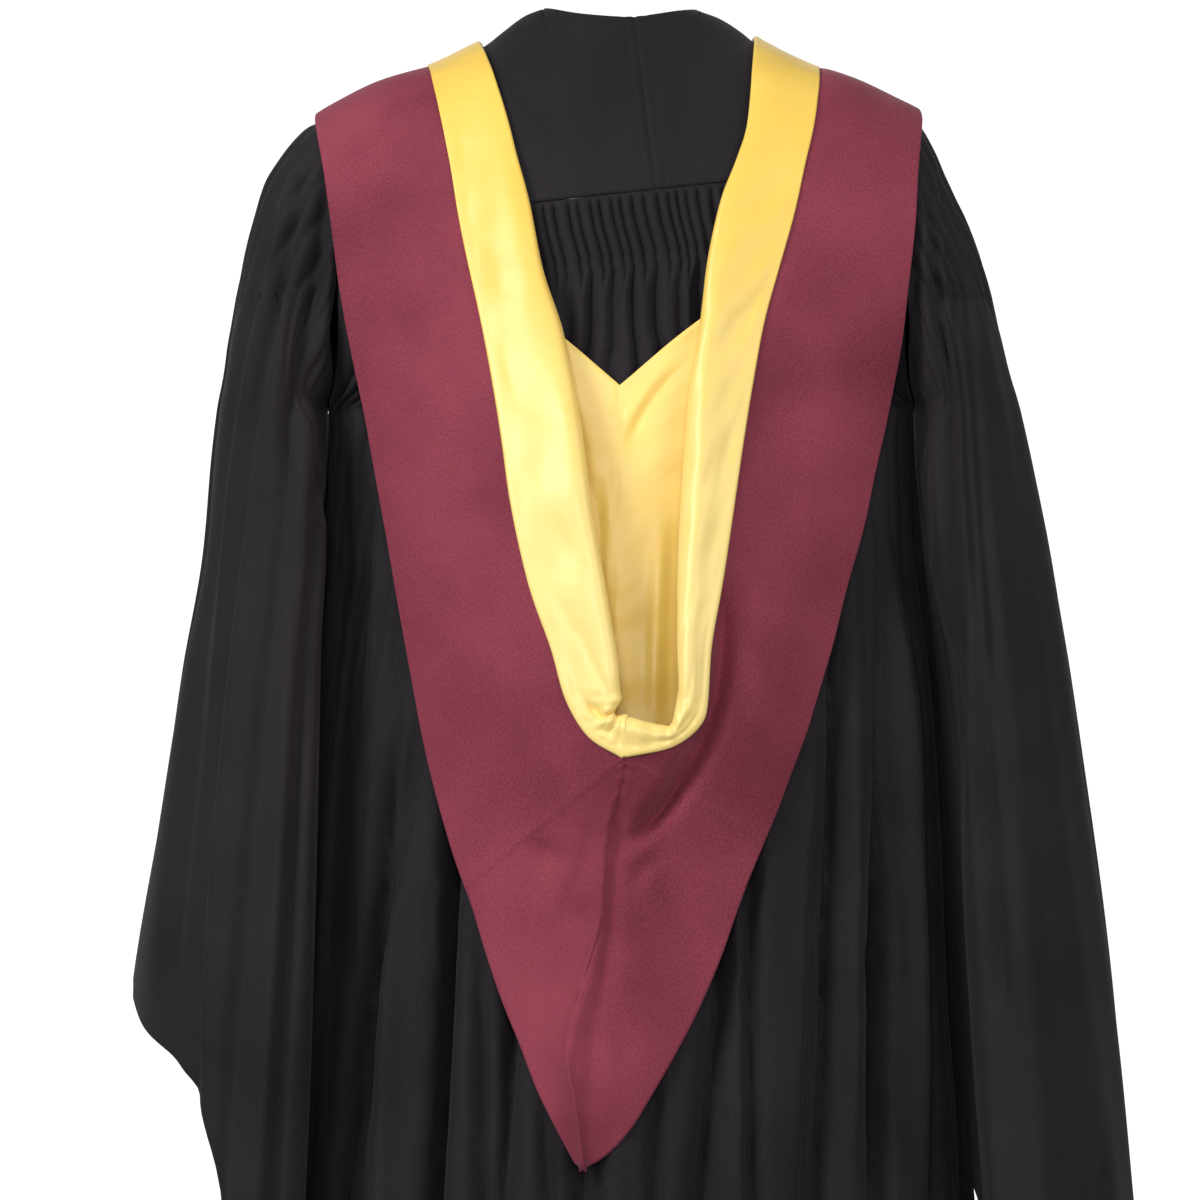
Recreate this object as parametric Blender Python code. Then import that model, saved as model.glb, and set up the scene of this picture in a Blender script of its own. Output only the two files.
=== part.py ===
"""Graduation gown with its academic hood, worn open at the front, as hollow cloth walls.

Metres, +Z up. The back faces +Y, the wearer's left is +X, and the origin is the middle of the
neck opening at the height of the nape. Every piece is a sheet of points laid on one draped form,
or moved out from it, and thickened to its cloth.
"""

import bpy
import numpy as np

for old in list(bpy.data.objects):
    bpy.data.objects.remove(old, do_unlink=True)


class Table:
    """A short table with named columns, read smoothly at any place along one of them."""

    def __init__(self, columns, rows):
        self.columns = dict(zip(columns.split(), np.array(rows, float).T))

    def __getitem__(self, name):
        return self.columns[name]

    def at(self, name, key, where):
        return curve(self[key], self[name], where)


def curve(knots, values, where):
    """A smooth curve through the values that never overshoots them."""
    order = np.argsort(knots)
    knots, values = knots[order], values[order]
    step = np.diff(knots)
    slope = np.diff(values) / step
    product = slope[:-1] * slope[1:]
    total = np.where(product > 0, slope[:-1] + slope[1:], 1.0)
    middle = np.where(product > 0, 2 * product / total, 0.0)
    tangent = np.concatenate(([slope[0]], middle, [slope[-1]]))
    where = np.clip(where, knots[0], knots[-1])
    i = np.clip(np.searchsorted(knots, where, side="right") - 1, 0, len(step) - 1)
    t = (where - knots[i]) / step[i]
    start = (1 + 2 * t) * (1 - t) ** 2 * values[i] + t * (1 - t) ** 2 * step[i] * tangent[i]
    end = t * t * (3 - 2 * t) * values[i + 1] + t * t * (t - 1) * step[i] * tangent[i + 1]
    return start + end


def ease(value, start, end):
    """0 before start, 1 after end, smooth between."""
    t = np.clip((value - start) / (end - start), 0, 1)
    return t * t * (3 - 2 * t)


def mix(a, b, share):
    return a + (b - a) * share


# Driving sizes
HEM = -1.22                 # hem under the nape, for a gown 48 inches long
GOWN_CLOTH = 0.0012         # worsted
HOOD_CLOTH = 0.0012
SATIN_CLOTH = 0.0010
SEAM_GAP = 0.0003
ARMHOLE_GAP = 0.0008
YOKE_SEAM = -0.1415         # yoke seam at the centre back
YOKE_SEAM_SLOPE = -0.11
BACK_FLUTES = 52
FLUTE_DEPTH = 0.0042
FLUTE_LEAN = 0.046          # how far the flutes lean to the right going down, as a share of the back
PAIRED_DEPTH = 0.0065       # the folds that take two flutes each, under the gathering row
GATHER_DROP = 0.050         # the gathering row, under the yoke seam
SLEEVE_FLUTES = 28
HEAD_DEPTH = 0.004          # the sleeve heads' flutes
UNDERARM = -0.300
WRAPPED = -0.400            # from here down a sleeve lies round the side of the body
SHOULDER_TIP = 0.2215       # half width of the yoke
NECK_SIDE = 0.062           # half width of the neckline
NECK_RISE = 0.012           # how much higher the neckline is at the side than at the back
ROUNDNESS = 2.2             # power of the rings; 2 is an ellipse
CORE_HEIGHT = -0.133        # sections over the shoulder turn about this height
SIDE = {1: "left", -1: "right"}

# The draped form: a ring for each height
FORM = Table("height half_width back front", [
    (0.030, 0.052, 0.042, 0.040),
    (0.014, 0.060, 0.048, 0.044),
    (0.006, 0.078, 0.056, 0.048),
    (-0.004, 0.093, 0.063, 0.052),
    (-0.018, 0.112, 0.071, 0.058),
    (-0.036, 0.150, 0.081, 0.067),
    (-0.051, 0.190, 0.088, 0.074),
    (-0.064, 0.214, 0.093, 0.080),
    (-0.078, 0.236, 0.098, 0.086),
    (-0.104, 0.262, 0.106, 0.094),
    (-0.150, 0.278, 0.118, 0.105),
    (-0.200, 0.266, 0.126, 0.114),
    (-0.250, 0.244, 0.131, 0.120),
    (-0.300, 0.230, 0.135, 0.125),
    (-0.400, 0.236, 0.143, 0.130),
    (-0.500, 0.248, 0.151, 0.134),
    (-0.600, 0.257, 0.160, 0.140),
    (-0.750, 0.266, 0.174, 0.150),
    (-0.900, 0.276, 0.188, 0.162),
    (-1.050, 0.290, 0.200, 0.175),
    (-1.220, 0.312, 0.214, 0.190),
])

# Where the armhole seam and the front opening run
ARMHOLE = Table("height reach", [
    (-0.073, 0.2225), (-0.120, 0.2200), (-0.200, 0.2180),
    (-0.255, 0.2190), (-0.285, 0.2240), (-0.300, 0.2300),
])
OPENING = Table("height reach", [
    (0.000, 0.072), (-0.100, 0.078), (-0.300, 0.070), (-0.600, 0.075), (-1.220, 0.095),
])

# Valleys between the large folds of the back, from where they start down to the hem.
# high and low are places across the back at 0.45 m and 1.10 m below the nape, -1 to 1.
BACK_VALLEYS = Table("high low depth width starts", [
    (-0.900, -0.830, 0.024, 0.060, -0.30),
    (-0.740, -0.640, 0.015, 0.036, -0.34),
    (-0.590, -0.420, 0.012, 0.034, -0.42),
    (-0.450, -0.300, 0.014, 0.036, -0.38),
    (-0.240, -0.060, 0.015, 0.040, -0.46),
    (-0.040, 0.100, 0.012, 0.040, -0.50),
    (0.140, 0.220, 0.014, 0.036, -0.44),
    (0.300, 0.345, 0.018, 0.036, -0.40),
    (0.430, 0.600, 0.014, 0.034, -0.50),
    (0.640, 0.690, 0.010, 0.024, -0.36),
    (0.740, 0.780, 0.020, 0.048, -0.32),
])
FRONT_VALLEYS = Table("high low depth width starts", [
    (0.16, 0.12, 0.012, 0.060, -0.16),
    (0.40, 0.34, 0.016, 0.075, -0.12),
    (0.64, 0.58, 0.014, 0.070, -0.22),
    (0.86, 0.82, 0.018, 0.065, -0.26),
])


def ring(height, angle):
    """A point of the form: angle 0 is the centre back, 90 degrees the left side."""
    power = 2 / ROUNDNESS
    half = FORM.at("half_width", "height", height)
    depth = np.where(np.cos(angle) > 0, FORM.at("back", "height", height), FORM.at("front", "height", height))
    x = half * np.sign(np.sin(angle)) * np.abs(np.sin(angle)) ** power
    y = depth * np.sign(np.cos(angle)) * np.abs(np.cos(angle)) ** power
    return np.stack([x, y, height + 0 * x], -1)


def angle_at(height, x):
    """The angle from the centre back, or from the centre front, at which the form reaches x."""
    share = np.clip(np.abs(x) / FORM.at("half_width", "height", height), 0, 1)
    return np.sign(x) * np.arcsin(share ** (ROUNDNESS / 2))


def size_of(point):
    """1 on the form, less inside it and more outside it."""
    x, y, z = point[..., 0], point[..., 1], point[..., 2]
    depth = np.where(y > 0, FORM.at("back", "height", z), FORM.at("front", "height", z))
    return (np.abs(x) / FORM.at("half_width", "height", z)) ** ROUNDNESS + (np.abs(y) / depth) ** ROUNDNESS


def outward(point):
    """The direction straight out of the form at a point."""
    small = 0.002
    slope = [size_of(point + small * axis) - size_of(point - small * axis) for axis in np.eye(3)]
    slope = np.stack(slope, -1)
    return slope / np.linalg.norm(slope, axis=-1, keepdims=True)


def lifted(point, lift):
    return point + outward(point) * np.asarray(lift)[..., None]


def on_back(x, height):
    return ring(height, angle_at(height, x))


def over_shoulder(x, tilt):
    """A point of the form on the section at x: tilt 0 is straight back, 90 degrees is up."""
    x, tilt = np.broadcast_arrays(np.asarray(x, float), np.asarray(tilt, float))
    near, far = np.zeros(x.shape), np.full(x.shape, 0.5)
    for _ in range(40):
        reach = (near + far) / 2
        point = np.stack([x, reach * np.cos(tilt), CORE_HEIGHT + reach * np.sin(tilt)], -1)
        inside = size_of(point) < 1
        near, far = np.where(inside, reach, near), np.where(inside, far, reach)
    return point


def tilt_of(point):
    return np.arctan2(point[..., 2] - CORE_HEIGHT, point[..., 1])


def flute(phase):
    """1 in the narrow valley at each whole number, near 0 over the round ridge between."""
    return 1 - np.abs(np.sin(np.pi * phase)) ** 0.6


def valleys(table, place, height, high=-0.45, low=-1.10):
    """How far the large folds push the cloth in at a place across a panel and a height."""
    total = np.zeros(np.broadcast(place, height).shape)
    down = (high - height) / (high - low)
    for i in range(len(table["depth"])):
        middle = mix(table["high"][i], table["low"][i], np.clip(down, -0.3, 1.2))
        begin = table["starts"][i]
        grown = ease(-height, -begin, -begin + 0.16)
        across = (place - middle) / table["width"][i]
        total = total + table["depth"][i] * grown * np.exp(-across ** 2)
    return total


def grid_faces(rows, columns, closed=False):
    """Triangles of a grid of points, the same diagonal all over."""
    faces = []
    for r in range(rows - 1):
        for c in range(columns if closed else columns - 1):
            d = (c + 1) % columns
            a, b = r * columns + c, r * columns + d
            e, f = a + columns, b + columns
            faces += [(a, e, f), (a, f, b)]
    return faces


def cloth(name, points, faces, thickness, colour, flip=False):
    """A named wall: the points are its outer face, and the thickness goes inward."""
    mesh = bpy.data.meshes.new(name)
    if flip:
        faces = [face[::-1] for face in faces]
    mesh.from_pydata([tuple(p) for p in np.asarray(points).reshape(-1, 3)], [], faces)
    mesh.shade_smooth()
    piece = bpy.data.objects.new(name, mesh)
    bpy.context.scene.collection.objects.link(piece)
    wall = piece.modifiers.new("Cloth", "SOLIDIFY")
    wall.thickness = thickness
    wall.offset = -1
    wall.use_rim = True
    mesh.materials.append(colour)
    return piece


def paint(name, colour, roughness):
    material = bpy.data.materials.new(name)
    material.use_nodes = True
    shader = material.node_tree.nodes["Principled BSDF"]
    shader.inputs["Base Color"].default_value = (*colour, 1)
    shader.inputs["Roughness"].default_value = roughness
    shader.inputs["Metallic"].default_value = 0
    return material


BLACK = paint("black worsted", (0.012, 0.010, 0.012), 0.85)
MAROON = paint("maroon twill", (0.19, 0.020, 0.040), 0.80)
YELLOW = paint("yellow satin", (0.90, 0.58, 0.12), 0.45)


def yoke_seam(x):
    return YOKE_SEAM + YOKE_SEAM_SLOPE * x


def yoke_top(x):
    """Tilt of the yoke's upper edge: the neckline, then the seam in front of the shoulder."""
    x = np.abs(x)
    height = 0.0005 + NECK_RISE * np.minimum(x / NECK_SIDE, 1) ** 2
    neck = tilt_of(on_back(np.minimum(x, NECK_SIDE), height))
    front = np.radians(mix(103, 112, np.clip((x - NECK_SIDE) / 0.16, 0, 1)))
    return mix(neck, front, ease(x, NECK_SIDE - 0.004, NECK_SIDE + 0.012))


# The yoke's centre seam, which leans to the right going down
YOKE_CENTRE = Table("height reach", [
    (0.010, -0.0090), (-0.015, -0.0120), (-0.073, -0.0180), (-0.145, -0.0270),
])


def yoke(side, rows=9):
    """One half of the plain yoke, from its seam on the back over the shoulder to the front."""
    across = np.array([0, 0.09, 0.17, 0.23, 0.27, 0.31, 0.36, 0.46, 0.60, 0.74, 0.88, 1])
    columns = len(across)
    up = np.linspace(0, 1, rows)
    across, up = np.meshgrid(across, up)
    x = side * (SEAM_GAP / 2 + across * SHOULDER_TIP)
    for _ in range(3):
        low = tilt_of(on_back(x, yoke_seam(x)))
        point = over_shoulder(x, mix(low, yoke_top(x), up))
        edge = ARMHOLE.at("reach", "height", point[..., 2])
        centre = YOKE_CENTRE.at("reach", "height", point[..., 2]) + side * SEAM_GAP / 2
        x = mix(centre, side * edge, across)
    return cloth(f"yoke_{SIDE[side]}", point, grid_faces(rows, columns), GOWN_CLOTH, BLACK, flip=side < 0)


def side_edge(height, gap):
    """The angle of the armhole seam or, under it, of the side seam less its gap."""
    side_seam = np.pi / 2 - gap / FORM.at("half_width", "height", height)
    arm = angle_at(height, ARMHOLE.at("reach", "height", height))
    return np.where(height > UNDERARM, np.minimum(arm, side_seam), side_seam)


def panel_point(place, height, centre, edge_gap):
    """A point of the back (centre 0) or the front (centre 180 degrees) of the gown's body.

    place runs from -1 to 1, between the armhole seams and, lower down, the side seams.
    """
    edge = side_edge(height, edge_gap)
    straight = angle_at(height, place * ring(height, edge)[..., 0])
    angle = mix(straight, place * edge, ease(-height, 0.24, -UNDERARM))
    return ring(height, centre + angle)


def back_row(place, drop):
    """The back's points at a drop under the yoke seam, which levels out on the way to the hem."""
    leaning = FLUTE_LEAN * ease(drop, 0, 0.06) * (1 - ease(drop, 0.1, 0.4))
    moved = place - leaning * (1 - place ** 2)
    height = mix(yoke_seam(moved * SHOULDER_TIP), YOKE_SEAM, ease(drop, 0.05, 0.35)) - drop
    point = panel_point(moved, height, 0.0, SEAM_GAP)
    fall = YOKE_SEAM - height
    small = FLUTE_DEPTH * ease(fall + 0.003, 0.0, 0.012) * (1 - 0.65 * ease(fall, 0.04, 0.055))
    small = small * (1 - ease(fall, GATHER_DROP, GATHER_DROP + 0.01)) * flute(place * BACK_FLUTES / 2)
    paired = PAIRED_DEPTH * ease(fall, 0.055, 0.09) * (1 - 0.75 * ease(fall, 0.16, 0.45))
    paired = paired * flute(place * BACK_FLUTES / 4)
    hold = 1 - ease(np.abs(place), 0.88, 0.96)
    return lifted(point, -hold * (small + paired + valleys(BACK_VALLEYS, place, height)))


def back():
    """The back under the yoke: fine rows of flutes, then rows of half as many points."""
    fine_drops = [2 * SEAM_GAP, 0.007, 0.024, 0.043, GATHER_DROP]
    drops = [0.066, 0.085, 0.115, 0.167, 0.250, 0.360, 0.520, 0.700, 0.900, YOKE_SEAM - HEM]
    full = BACK_FLUTES * 3
    points, faces, start = [], [], []
    for index, drop in enumerate(fine_drops + drops):
        count = full if index < len(fine_drops) else full // 2
        start.append(len(points))
        points += list(back_row(np.linspace(-1, 1, count + 1), drop))
    rows = len(start)
    for r in range(rows - 1):
        upper, lower = start[r], start[r + 1]
        cells = (start[r + 2] if r + 2 < rows else len(points)) - lower - 1
        if lower - upper - 1 == cells:
            for c in range(cells):
                a, b, e, f = upper + c, upper + c + 1, lower + c, lower + c + 1
                faces += [(a, e, f), (a, f, b)]
        else:
            for c in range(cells):
                a, b, d = upper + 2 * c, upper + 2 * c + 1, upper + 2 * c + 2
                e, f = lower + c, lower + c + 1
                faces += [(a, e, b), (b, e, f), (b, f, d)]
    return cloth("back", points, faces, GOWN_CLOTH, BLACK, flip=True)


def front(side, columns=16, upper_rows=5, lower_rows=8):
    """One front, from the seam in front of the shoulder to the hem, open down the middle."""
    place = np.linspace(0, 1, columns)
    fall = np.concatenate([np.linspace(0, 1, upper_rows), np.linspace(1, 2, lower_rows)[1:]])
    place, fall = np.meshgrid(place, fall)
    reach = side * mix(OPENING["reach"][0], SHOULDER_TIP, place[0])
    for _ in range(3):
        top = over_shoulder(reach, yoke_top(reach))
        edge = ARMHOLE.at("reach", "height", top[..., 2])
        reach = side * mix(OPENING["reach"][0], edge, place[0])
    seam = top[..., 2] - 2 * SEAM_GAP
    height = mix(seam[None, :], UNDERARM, np.minimum(fall, 1))
    height = mix(height, HEM, np.maximum(fall - 1, 0))
    inner = OPENING.at("reach", "height", height)
    edge = side_edge(height, SEAM_GAP)
    straight = angle_at(height, mix(inner, ring(height, edge)[..., 0], place))
    turned = mix(angle_at(height, inner), edge, place)
    angle = mix(straight, turned, ease(-height, 0.24, -UNDERARM))
    point = ring(height, np.pi - angle)
    hold = 1 - ease(place, 0.84, 0.93)
    point = lifted(point, -hold * valleys(FRONT_VALLEYS, place, height))
    point[..., 0] *= side
    faces = grid_faces(len(fall), columns)
    return cloth(f"front_{SIDE[side]}", point, faces, GOWN_CLOTH, BLACK, flip=side < 0)


# Outer reach of each sleeve by height
OUTLINE = {
    1: Table("height reach", [
        (-0.073, 0.2235), (-0.080, 0.2452), (-0.089, 0.2553), (-0.107, 0.2693), (-0.124, 0.2794),
        (-0.152, 0.2879), (-0.187, 0.2972), (-0.259, 0.3120), (-0.336, 0.3220), (-0.407, 0.3282),
        (-0.501, 0.3445), (-0.614, 0.3608), (-0.757, 0.3826), (-1.060, 0.4150),
    ]),
    -1: Table("height reach", [
        (-0.073, 0.2235), (-0.077, 0.2320), (-0.096, 0.2440), (-0.125, 0.2575), (-0.148, 0.2685),
        (-0.193, 0.2863), (-0.241, 0.2988), (-0.336, 0.3220), (-0.451, 0.3453), (-0.599, 0.3663),
        (-0.763, 0.3872), (-0.917, 0.4020), (-1.060, 0.4160),
    ]),
}
# Half depth of a sleeve's ring front to back, its distance from the body, and how many degrees
# round the body it reaches behind the side (each sleeve) and before it (front)
SLEEVE = Table("height depth clear left right front", [
    (-0.073, 0.004, 0.0008, 34, 30, 40), (-0.300, 0.100, 0.0008, 34, 30, 40),
    (-0.350, 0.105, 0.001, 34, 30, 40), (-0.420, 0.112, 0.005, 36, 29, 42),
    (-0.600, 0.130, 0.010, 41, 29, 44), (-0.800, 0.142, 0.011, 44, 31, 44),
    (-1.060, 0.150, 0.012, 45, 34, 44),
])
# Height of each sleeve's edge round the tube: 0 outside, 90 at the back, 180 inside, 270 in front
SLEEVE_EDGE = {
    1: Table("turn height", [
        (-90, -0.660), (-40, -0.700), (0, -0.745), (20, -0.775), (38, -0.805), (50, -0.860), (60, -0.980),
        (75, -1.045), (90, -1.055), (130, -1.030), (180, -0.960), (225, -0.820), (270, -0.660), (320, -0.700),
        (360, -0.745),
    ]),
    -1: Table("turn height", [
        (-90, -0.700), (-40, -0.800), (0, -0.940), (14, -0.980), (30, -1.010), (55, -1.045), (90, -1.055),
        (130, -1.030), (180, -0.970), (225, -0.850), (270, -0.720), (320, -0.800), (360, -0.940),
    ]),
}
SLEEVE_VALLEYS = {
    1: Table("high low depth width starts", [
        (0.020, 0.050, 0.010, 0.018, -0.16), (0.085, 0.125, 0.014, 0.022, -0.13),
        (0.160, 0.190, 0.012, 0.020, -0.15), (0.215, 0.245, 0.016, 0.020, -0.13),
        (0.290, 0.300, 0.012, 0.022, -0.20), (0.700, 0.690, 0.012, 0.026, -0.14),
        (0.780, 0.770, 0.014, 0.024, -0.13), (0.865, 0.860, 0.010, 0.022, -0.18),
        (0.940, 0.950, 0.012, 0.022, -0.14),
    ]),
    -1: Table("high low depth width starts", [
        (0.030, 0.040, 0.008, 0.020, -0.14), (0.090, 0.100, 0.014, 0.020, -0.15),
        (0.150, 0.165, 0.011, 0.020, -0.14), (0.205, 0.215, 0.015, 0.022, -0.16),
        (0.275, 0.290, 0.014, 0.024, -0.20), (0.690, 0.700, 0.012, 0.026, -0.14),
        (0.775, 0.780, 0.012, 0.024, -0.16), (0.850, 0.865, 0.014, 0.022, -0.14),
        (0.935, 0.930, 0.010, 0.022, -0.18),
    ]),
}


def armhole_turn(height):
    """How far round the sleeve, from its outside, the armhole seam is at a height."""
    top, bottom = ARMHOLE["height"][0], UNDERARM
    middle, half = (top + bottom) / 2, (top - bottom) / 2
    return np.arccos(np.clip((height - middle) / half, -1, 1))


def sleeve_ring(side, height, turn):
    """A point of the sleeve, as on the left, at a height and a turn within the open tube."""
    outer = OUTLINE[side].at("reach", "height", height)
    clear = SLEEVE.at("clear", "height", height)
    seam_turn = np.maximum(armhole_turn(height), 1e-6)
    share = turn / seam_turn
    arm = ARMHOLE.at("reach", "height", height)
    above = height > UNDERARM
    corner = angle_at(height, arm)
    at_back = np.where(above, ring(height, corner)[..., 1], 0)
    at_front = np.where(above, -ring(height, np.pi - corner)[..., 1], 0)
    half_gap, middle = (at_back + at_front) / 2, (at_back - at_front) / 2
    depth = np.maximum(SLEEVE.at("depth", "height", height), half_gap)
    closing = np.sqrt(np.clip(1 - (half_gap / depth) ** 2, 0, 1))
    inner = np.where(above, arm, FORM.at("half_width", "height", height) + clear)
    centre = (inner + closing * outer) / (1 + closing)
    last = np.pi - np.arcsin(np.clip(half_gap / depth, 0, 1))
    around = share * last
    x = centre + (outer - centre) * np.cos(around)
    y = middle + depth * np.sin(around)
    plain = np.stack([x, y, height + 0 * x], -1)
    reach_back = np.radians(SLEEVE.at(SIDE[side], "height", height))
    reach_front = np.radians(SLEEVE.at("front", "height", height))
    swing = np.where(np.sin(around) > 0, reach_back, reach_front)
    seat = ring(height, np.pi / 2 - swing * np.sin(around))
    half_width = (outer - FORM.at("half_width", "height", height) - clear) / 2
    boxed = np.sign(np.cos(around)) * np.abs(np.cos(around)) ** 0.8
    away = outward(seat)
    away[..., 2] = 0
    wrapped = seat + away * (clear + half_width * (1 + boxed))[..., None]
    return mix(plain, wrapped, ease(-height, -UNDERARM, -WRAPPED)[..., None])


def grid_normal(point):
    """Unit normals of a tube of points, towards its hollow."""
    around = np.roll(point, -1, axis=1) - np.roll(point, 1, axis=1)
    normal = np.cross(around, np.gradient(point, axis=0))
    return normal / np.linalg.norm(normal, axis=-1, keepdims=True)


def sleeve(side, columns=SLEEVE_FLUTES * 2):
    """One open bell sleeve, from the armhole seam to its slanted edge."""
    turn = np.linspace(-180, 180, columns, endpoint=False)
    share = np.array([0, 0.02, 0.06, 0.12, 0.20, 0.30, 0.42, 0.55, 0.70, 0.85, 1.0])
    rows = len(share)
    turn, share = np.meshgrid(turn, share)
    top, bottom = ARMHOLE["height"][0], UNDERARM
    start = (top + bottom) / 2 + (top - bottom) / 2 * np.cos(np.radians(turn))
    lap = np.where(turn < 0, turn + 360, turn)
    height = mix(start, SLEEVE_EDGE[side].at("height", "turn", lap), share)
    radians = np.radians(turn)
    point = sleeve_ring(side, height, radians)
    point[..., 0] += ARMHOLE_GAP
    inward = grid_normal(point)
    head = HEAD_DEPTH * ease(share, 0.0, 0.03) * (1 - ease(share, 0.10, 0.40))
    head = head * (1 - ease(np.abs(turn), 110, 150)) * flute(lap / 360 * SLEEVE_FLUTES)
    large = valleys(SLEEVE_VALLEYS[side], lap / 360, height) * (1 - ease(np.abs(turn), 115, 150))
    point = point + inward * (head + large)[..., None]
    point[..., 0] *= side
    faces = grid_faces(rows, columns, closed=True)
    return cloth(f"sleeve_{SIDE[side]}", point, faces, GOWN_CLOTH, BLACK, flip=side < 0)


# The hood's shape on each side, from the front of the shoulder down: the mouth's edge, the
# border's outer edge and the hood's outer fold, each as a reach from the middle. Over the
# shoulder a row's place is its tilt, and on the back each curve has its own height.
SHOULDER_ROWS = {
    1: Table("tilt mouth border fold", [
        (128, 0.098, 0.134, 0.196), (104, 0.106, 0.145, 0.226),
        (80, 0.109, 0.147, 0.233), (56, 0.102, 0.143, 0.232),
    ]),
    -1: Table("tilt mouth border fold", [
        (128, 0.092, 0.134, 0.190), (104, 0.100, 0.150, 0.218),
        (80, 0.103, 0.150, 0.228), (56, 0.101, 0.149, 0.228),
    ]),
}
HOOD_ROWS = {
    1: Table("mouth mouth_z border border_z fold fold_z mouth_lift border_lift fold_lift", [
        (0.0869, -0.085, 0.1340, -0.085, 0.2262, -0.110, 0.004, 0.004, 0.008),
        (0.0795, -0.114, 0.1268, -0.120, 0.2195, -0.155, 0.005, 0.005, 0.007),
        (0.0695, -0.150, 0.1202, -0.159, 0.2114, -0.209, 0.007, 0.006, 0.0075),
        (0.0592, -0.200, 0.1126, -0.194, 0.1998, -0.269, 0.012, 0.009, 0.0075),
        (0.0430, -0.250, 0.1029, -0.232, 0.1900, -0.315, 0.020, 0.014, 0.0075),
        (0.0325, -0.300, 0.0904, -0.285, 0.1800, -0.370, 0.032, 0.024, 0.0075),
        (0.0250, -0.345, 0.0814, -0.333, 0.1711, -0.421, 0.042, 0.034, 0.0075),
        (0.0185, -0.395, 0.0746, -0.378, 0.1610, -0.480, 0.050, 0.042, 0.0075),
        (0.0100, -0.450, 0.0609, -0.443, 0.1500, -0.540, 0.054, 0.048, 0.0075),
        (0.0040, -0.495, 0.0460, -0.490, 0.1400, -0.583, 0.055, 0.051, 0.0075),
        (0.0020, -0.522, 0.0360, -0.528, 0.1310, -0.618, 0.056, 0.053, 0.0075),
        (0.0025, -0.532, 0.0230, -0.556, 0.1230, -0.645, 0.056, 0.053, 0.0075),
        (-0.0020, -0.533, -0.0056, -0.5705, 0.1160, -0.664, 0.054, 0.052, 0.0075),
    ]),
    -1: Table("mouth mouth_z border border_z fold fold_z mouth_lift border_lift fold_lift", [
        (0.0960, -0.088, 0.1440, -0.085, 0.2240, -0.115, 0.004, 0.004, 0.008),
        (0.0875, -0.116, 0.1363, -0.118, 0.2210, -0.160, 0.005, 0.005, 0.007),
        (0.0750, -0.148, 0.1278, -0.155, 0.2160, -0.205, 0.007, 0.006, 0.0075),
        (0.0625, -0.201, 0.1152, -0.198, 0.2105, -0.247, 0.012, 0.008, 0.0075),
        (0.0555, -0.243, 0.1031, -0.238, 0.1988, -0.307, 0.018, 0.012, 0.0075),
        (0.0450, -0.300, 0.0933, -0.282, 0.1857, -0.368, 0.026, 0.018, 0.0075),
        (0.0400, -0.345, 0.0842, -0.330, 0.1740, -0.415, 0.034, 0.026, 0.0075),
        (0.0355, -0.395, 0.0743, -0.391, 0.1600, -0.468, 0.042, 0.035, 0.0075),
        (0.0330, -0.440, 0.0665, -0.440, 0.1480, -0.510, 0.048, 0.042, 0.0075),
        (0.0325, -0.480, 0.0580, -0.490, 0.1360, -0.550, 0.052, 0.048, 0.0075),
        (0.0340, -0.515, 0.0524, -0.525, 0.1250, -0.580, 0.054, 0.051, 0.0075),
        (0.0270, -0.528, 0.0390, -0.556, 0.1147, -0.608, 0.055, 0.052, 0.0075),
        (0.0026, -0.533, 0.0060, -0.5705, 0.1050, -0.630, 0.054, 0.052, 0.0075),
    ]),
}
# The centre seam of the outer layer and its two outer folds, below the mouth
SEAM_ROWS = Table("seam seam_z left left_z right right_z seam_lift", [
    (-0.0022, -0.576, 0.1130, -0.672, 0.1010, -0.640, 0.047),
    (0.0000, -0.591, 0.1080, -0.686, 0.0921, -0.661, 0.037),
    (0.0074, -0.613, 0.1000, -0.712, 0.0815, -0.690, 0.026),
    (0.0118, -0.640, 0.0874, -0.750, 0.0733, -0.713, 0.021),
    (0.0145, -0.685, 0.0740, -0.783, 0.0545, -0.757, 0.024),
    (0.0237, -0.721, 0.0611, -0.816, 0.0410, -0.783, 0.023),
    (0.0348, -0.756, 0.0505, -0.838, 0.0220, -0.816, 0.020),
    (0.0400, -0.790, 0.0455, -0.848, 0.0060, -0.842, 0.018),
    (0.0345, -0.822, 0.0390, -0.860, -0.0080, -0.858, 0.015),
    (0.0285, -0.868, 0.0330, -0.873, -0.0240, -0.873, 0.009),
])
FOLD_LIFT = 0.006           # how far the hood's outer folds stand off the form
SHOULDER_LIFT = 0.003
SHOULDER_FOLD_LIFT = 0.009  # over the gathered sleeve heads
RIDGE_GAP = 0.0012          # between the halves' outer faces, whose inner faces lean together
BORDER_LAP = 0.003          # how far the border lies over the outer layer
BORDER_LIFT = 0.0017
BORDERS_MEET = -0.006       # where the left border stops and the right one starts, under the mouth
LINING_LIFT = 0.0034


def reseat(place, lift):
    """Points near the form moved onto it, over the shoulder or at their own height, then lifted."""
    x, y, z = place[..., 0], place[..., 1], place[..., 2]
    over = over_shoulder(x, tilt_of(place))
    level = on_back(x, np.minimum(z, -0.065))
    share = np.where(y > 0, ease(-z, 0.075, 0.105), 0)
    return lifted(mix(over, level, share[..., None]), lift)


def between_rows(values, rows):
    """Key rows read smoothly at any row number."""
    keys = np.arange(len(values), dtype=float)
    if values.ndim == 1:
        return curve(keys, values, rows)
    return np.stack([curve(keys, values[:, axis], rows) for axis in range(values.shape[1])], -1)


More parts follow.
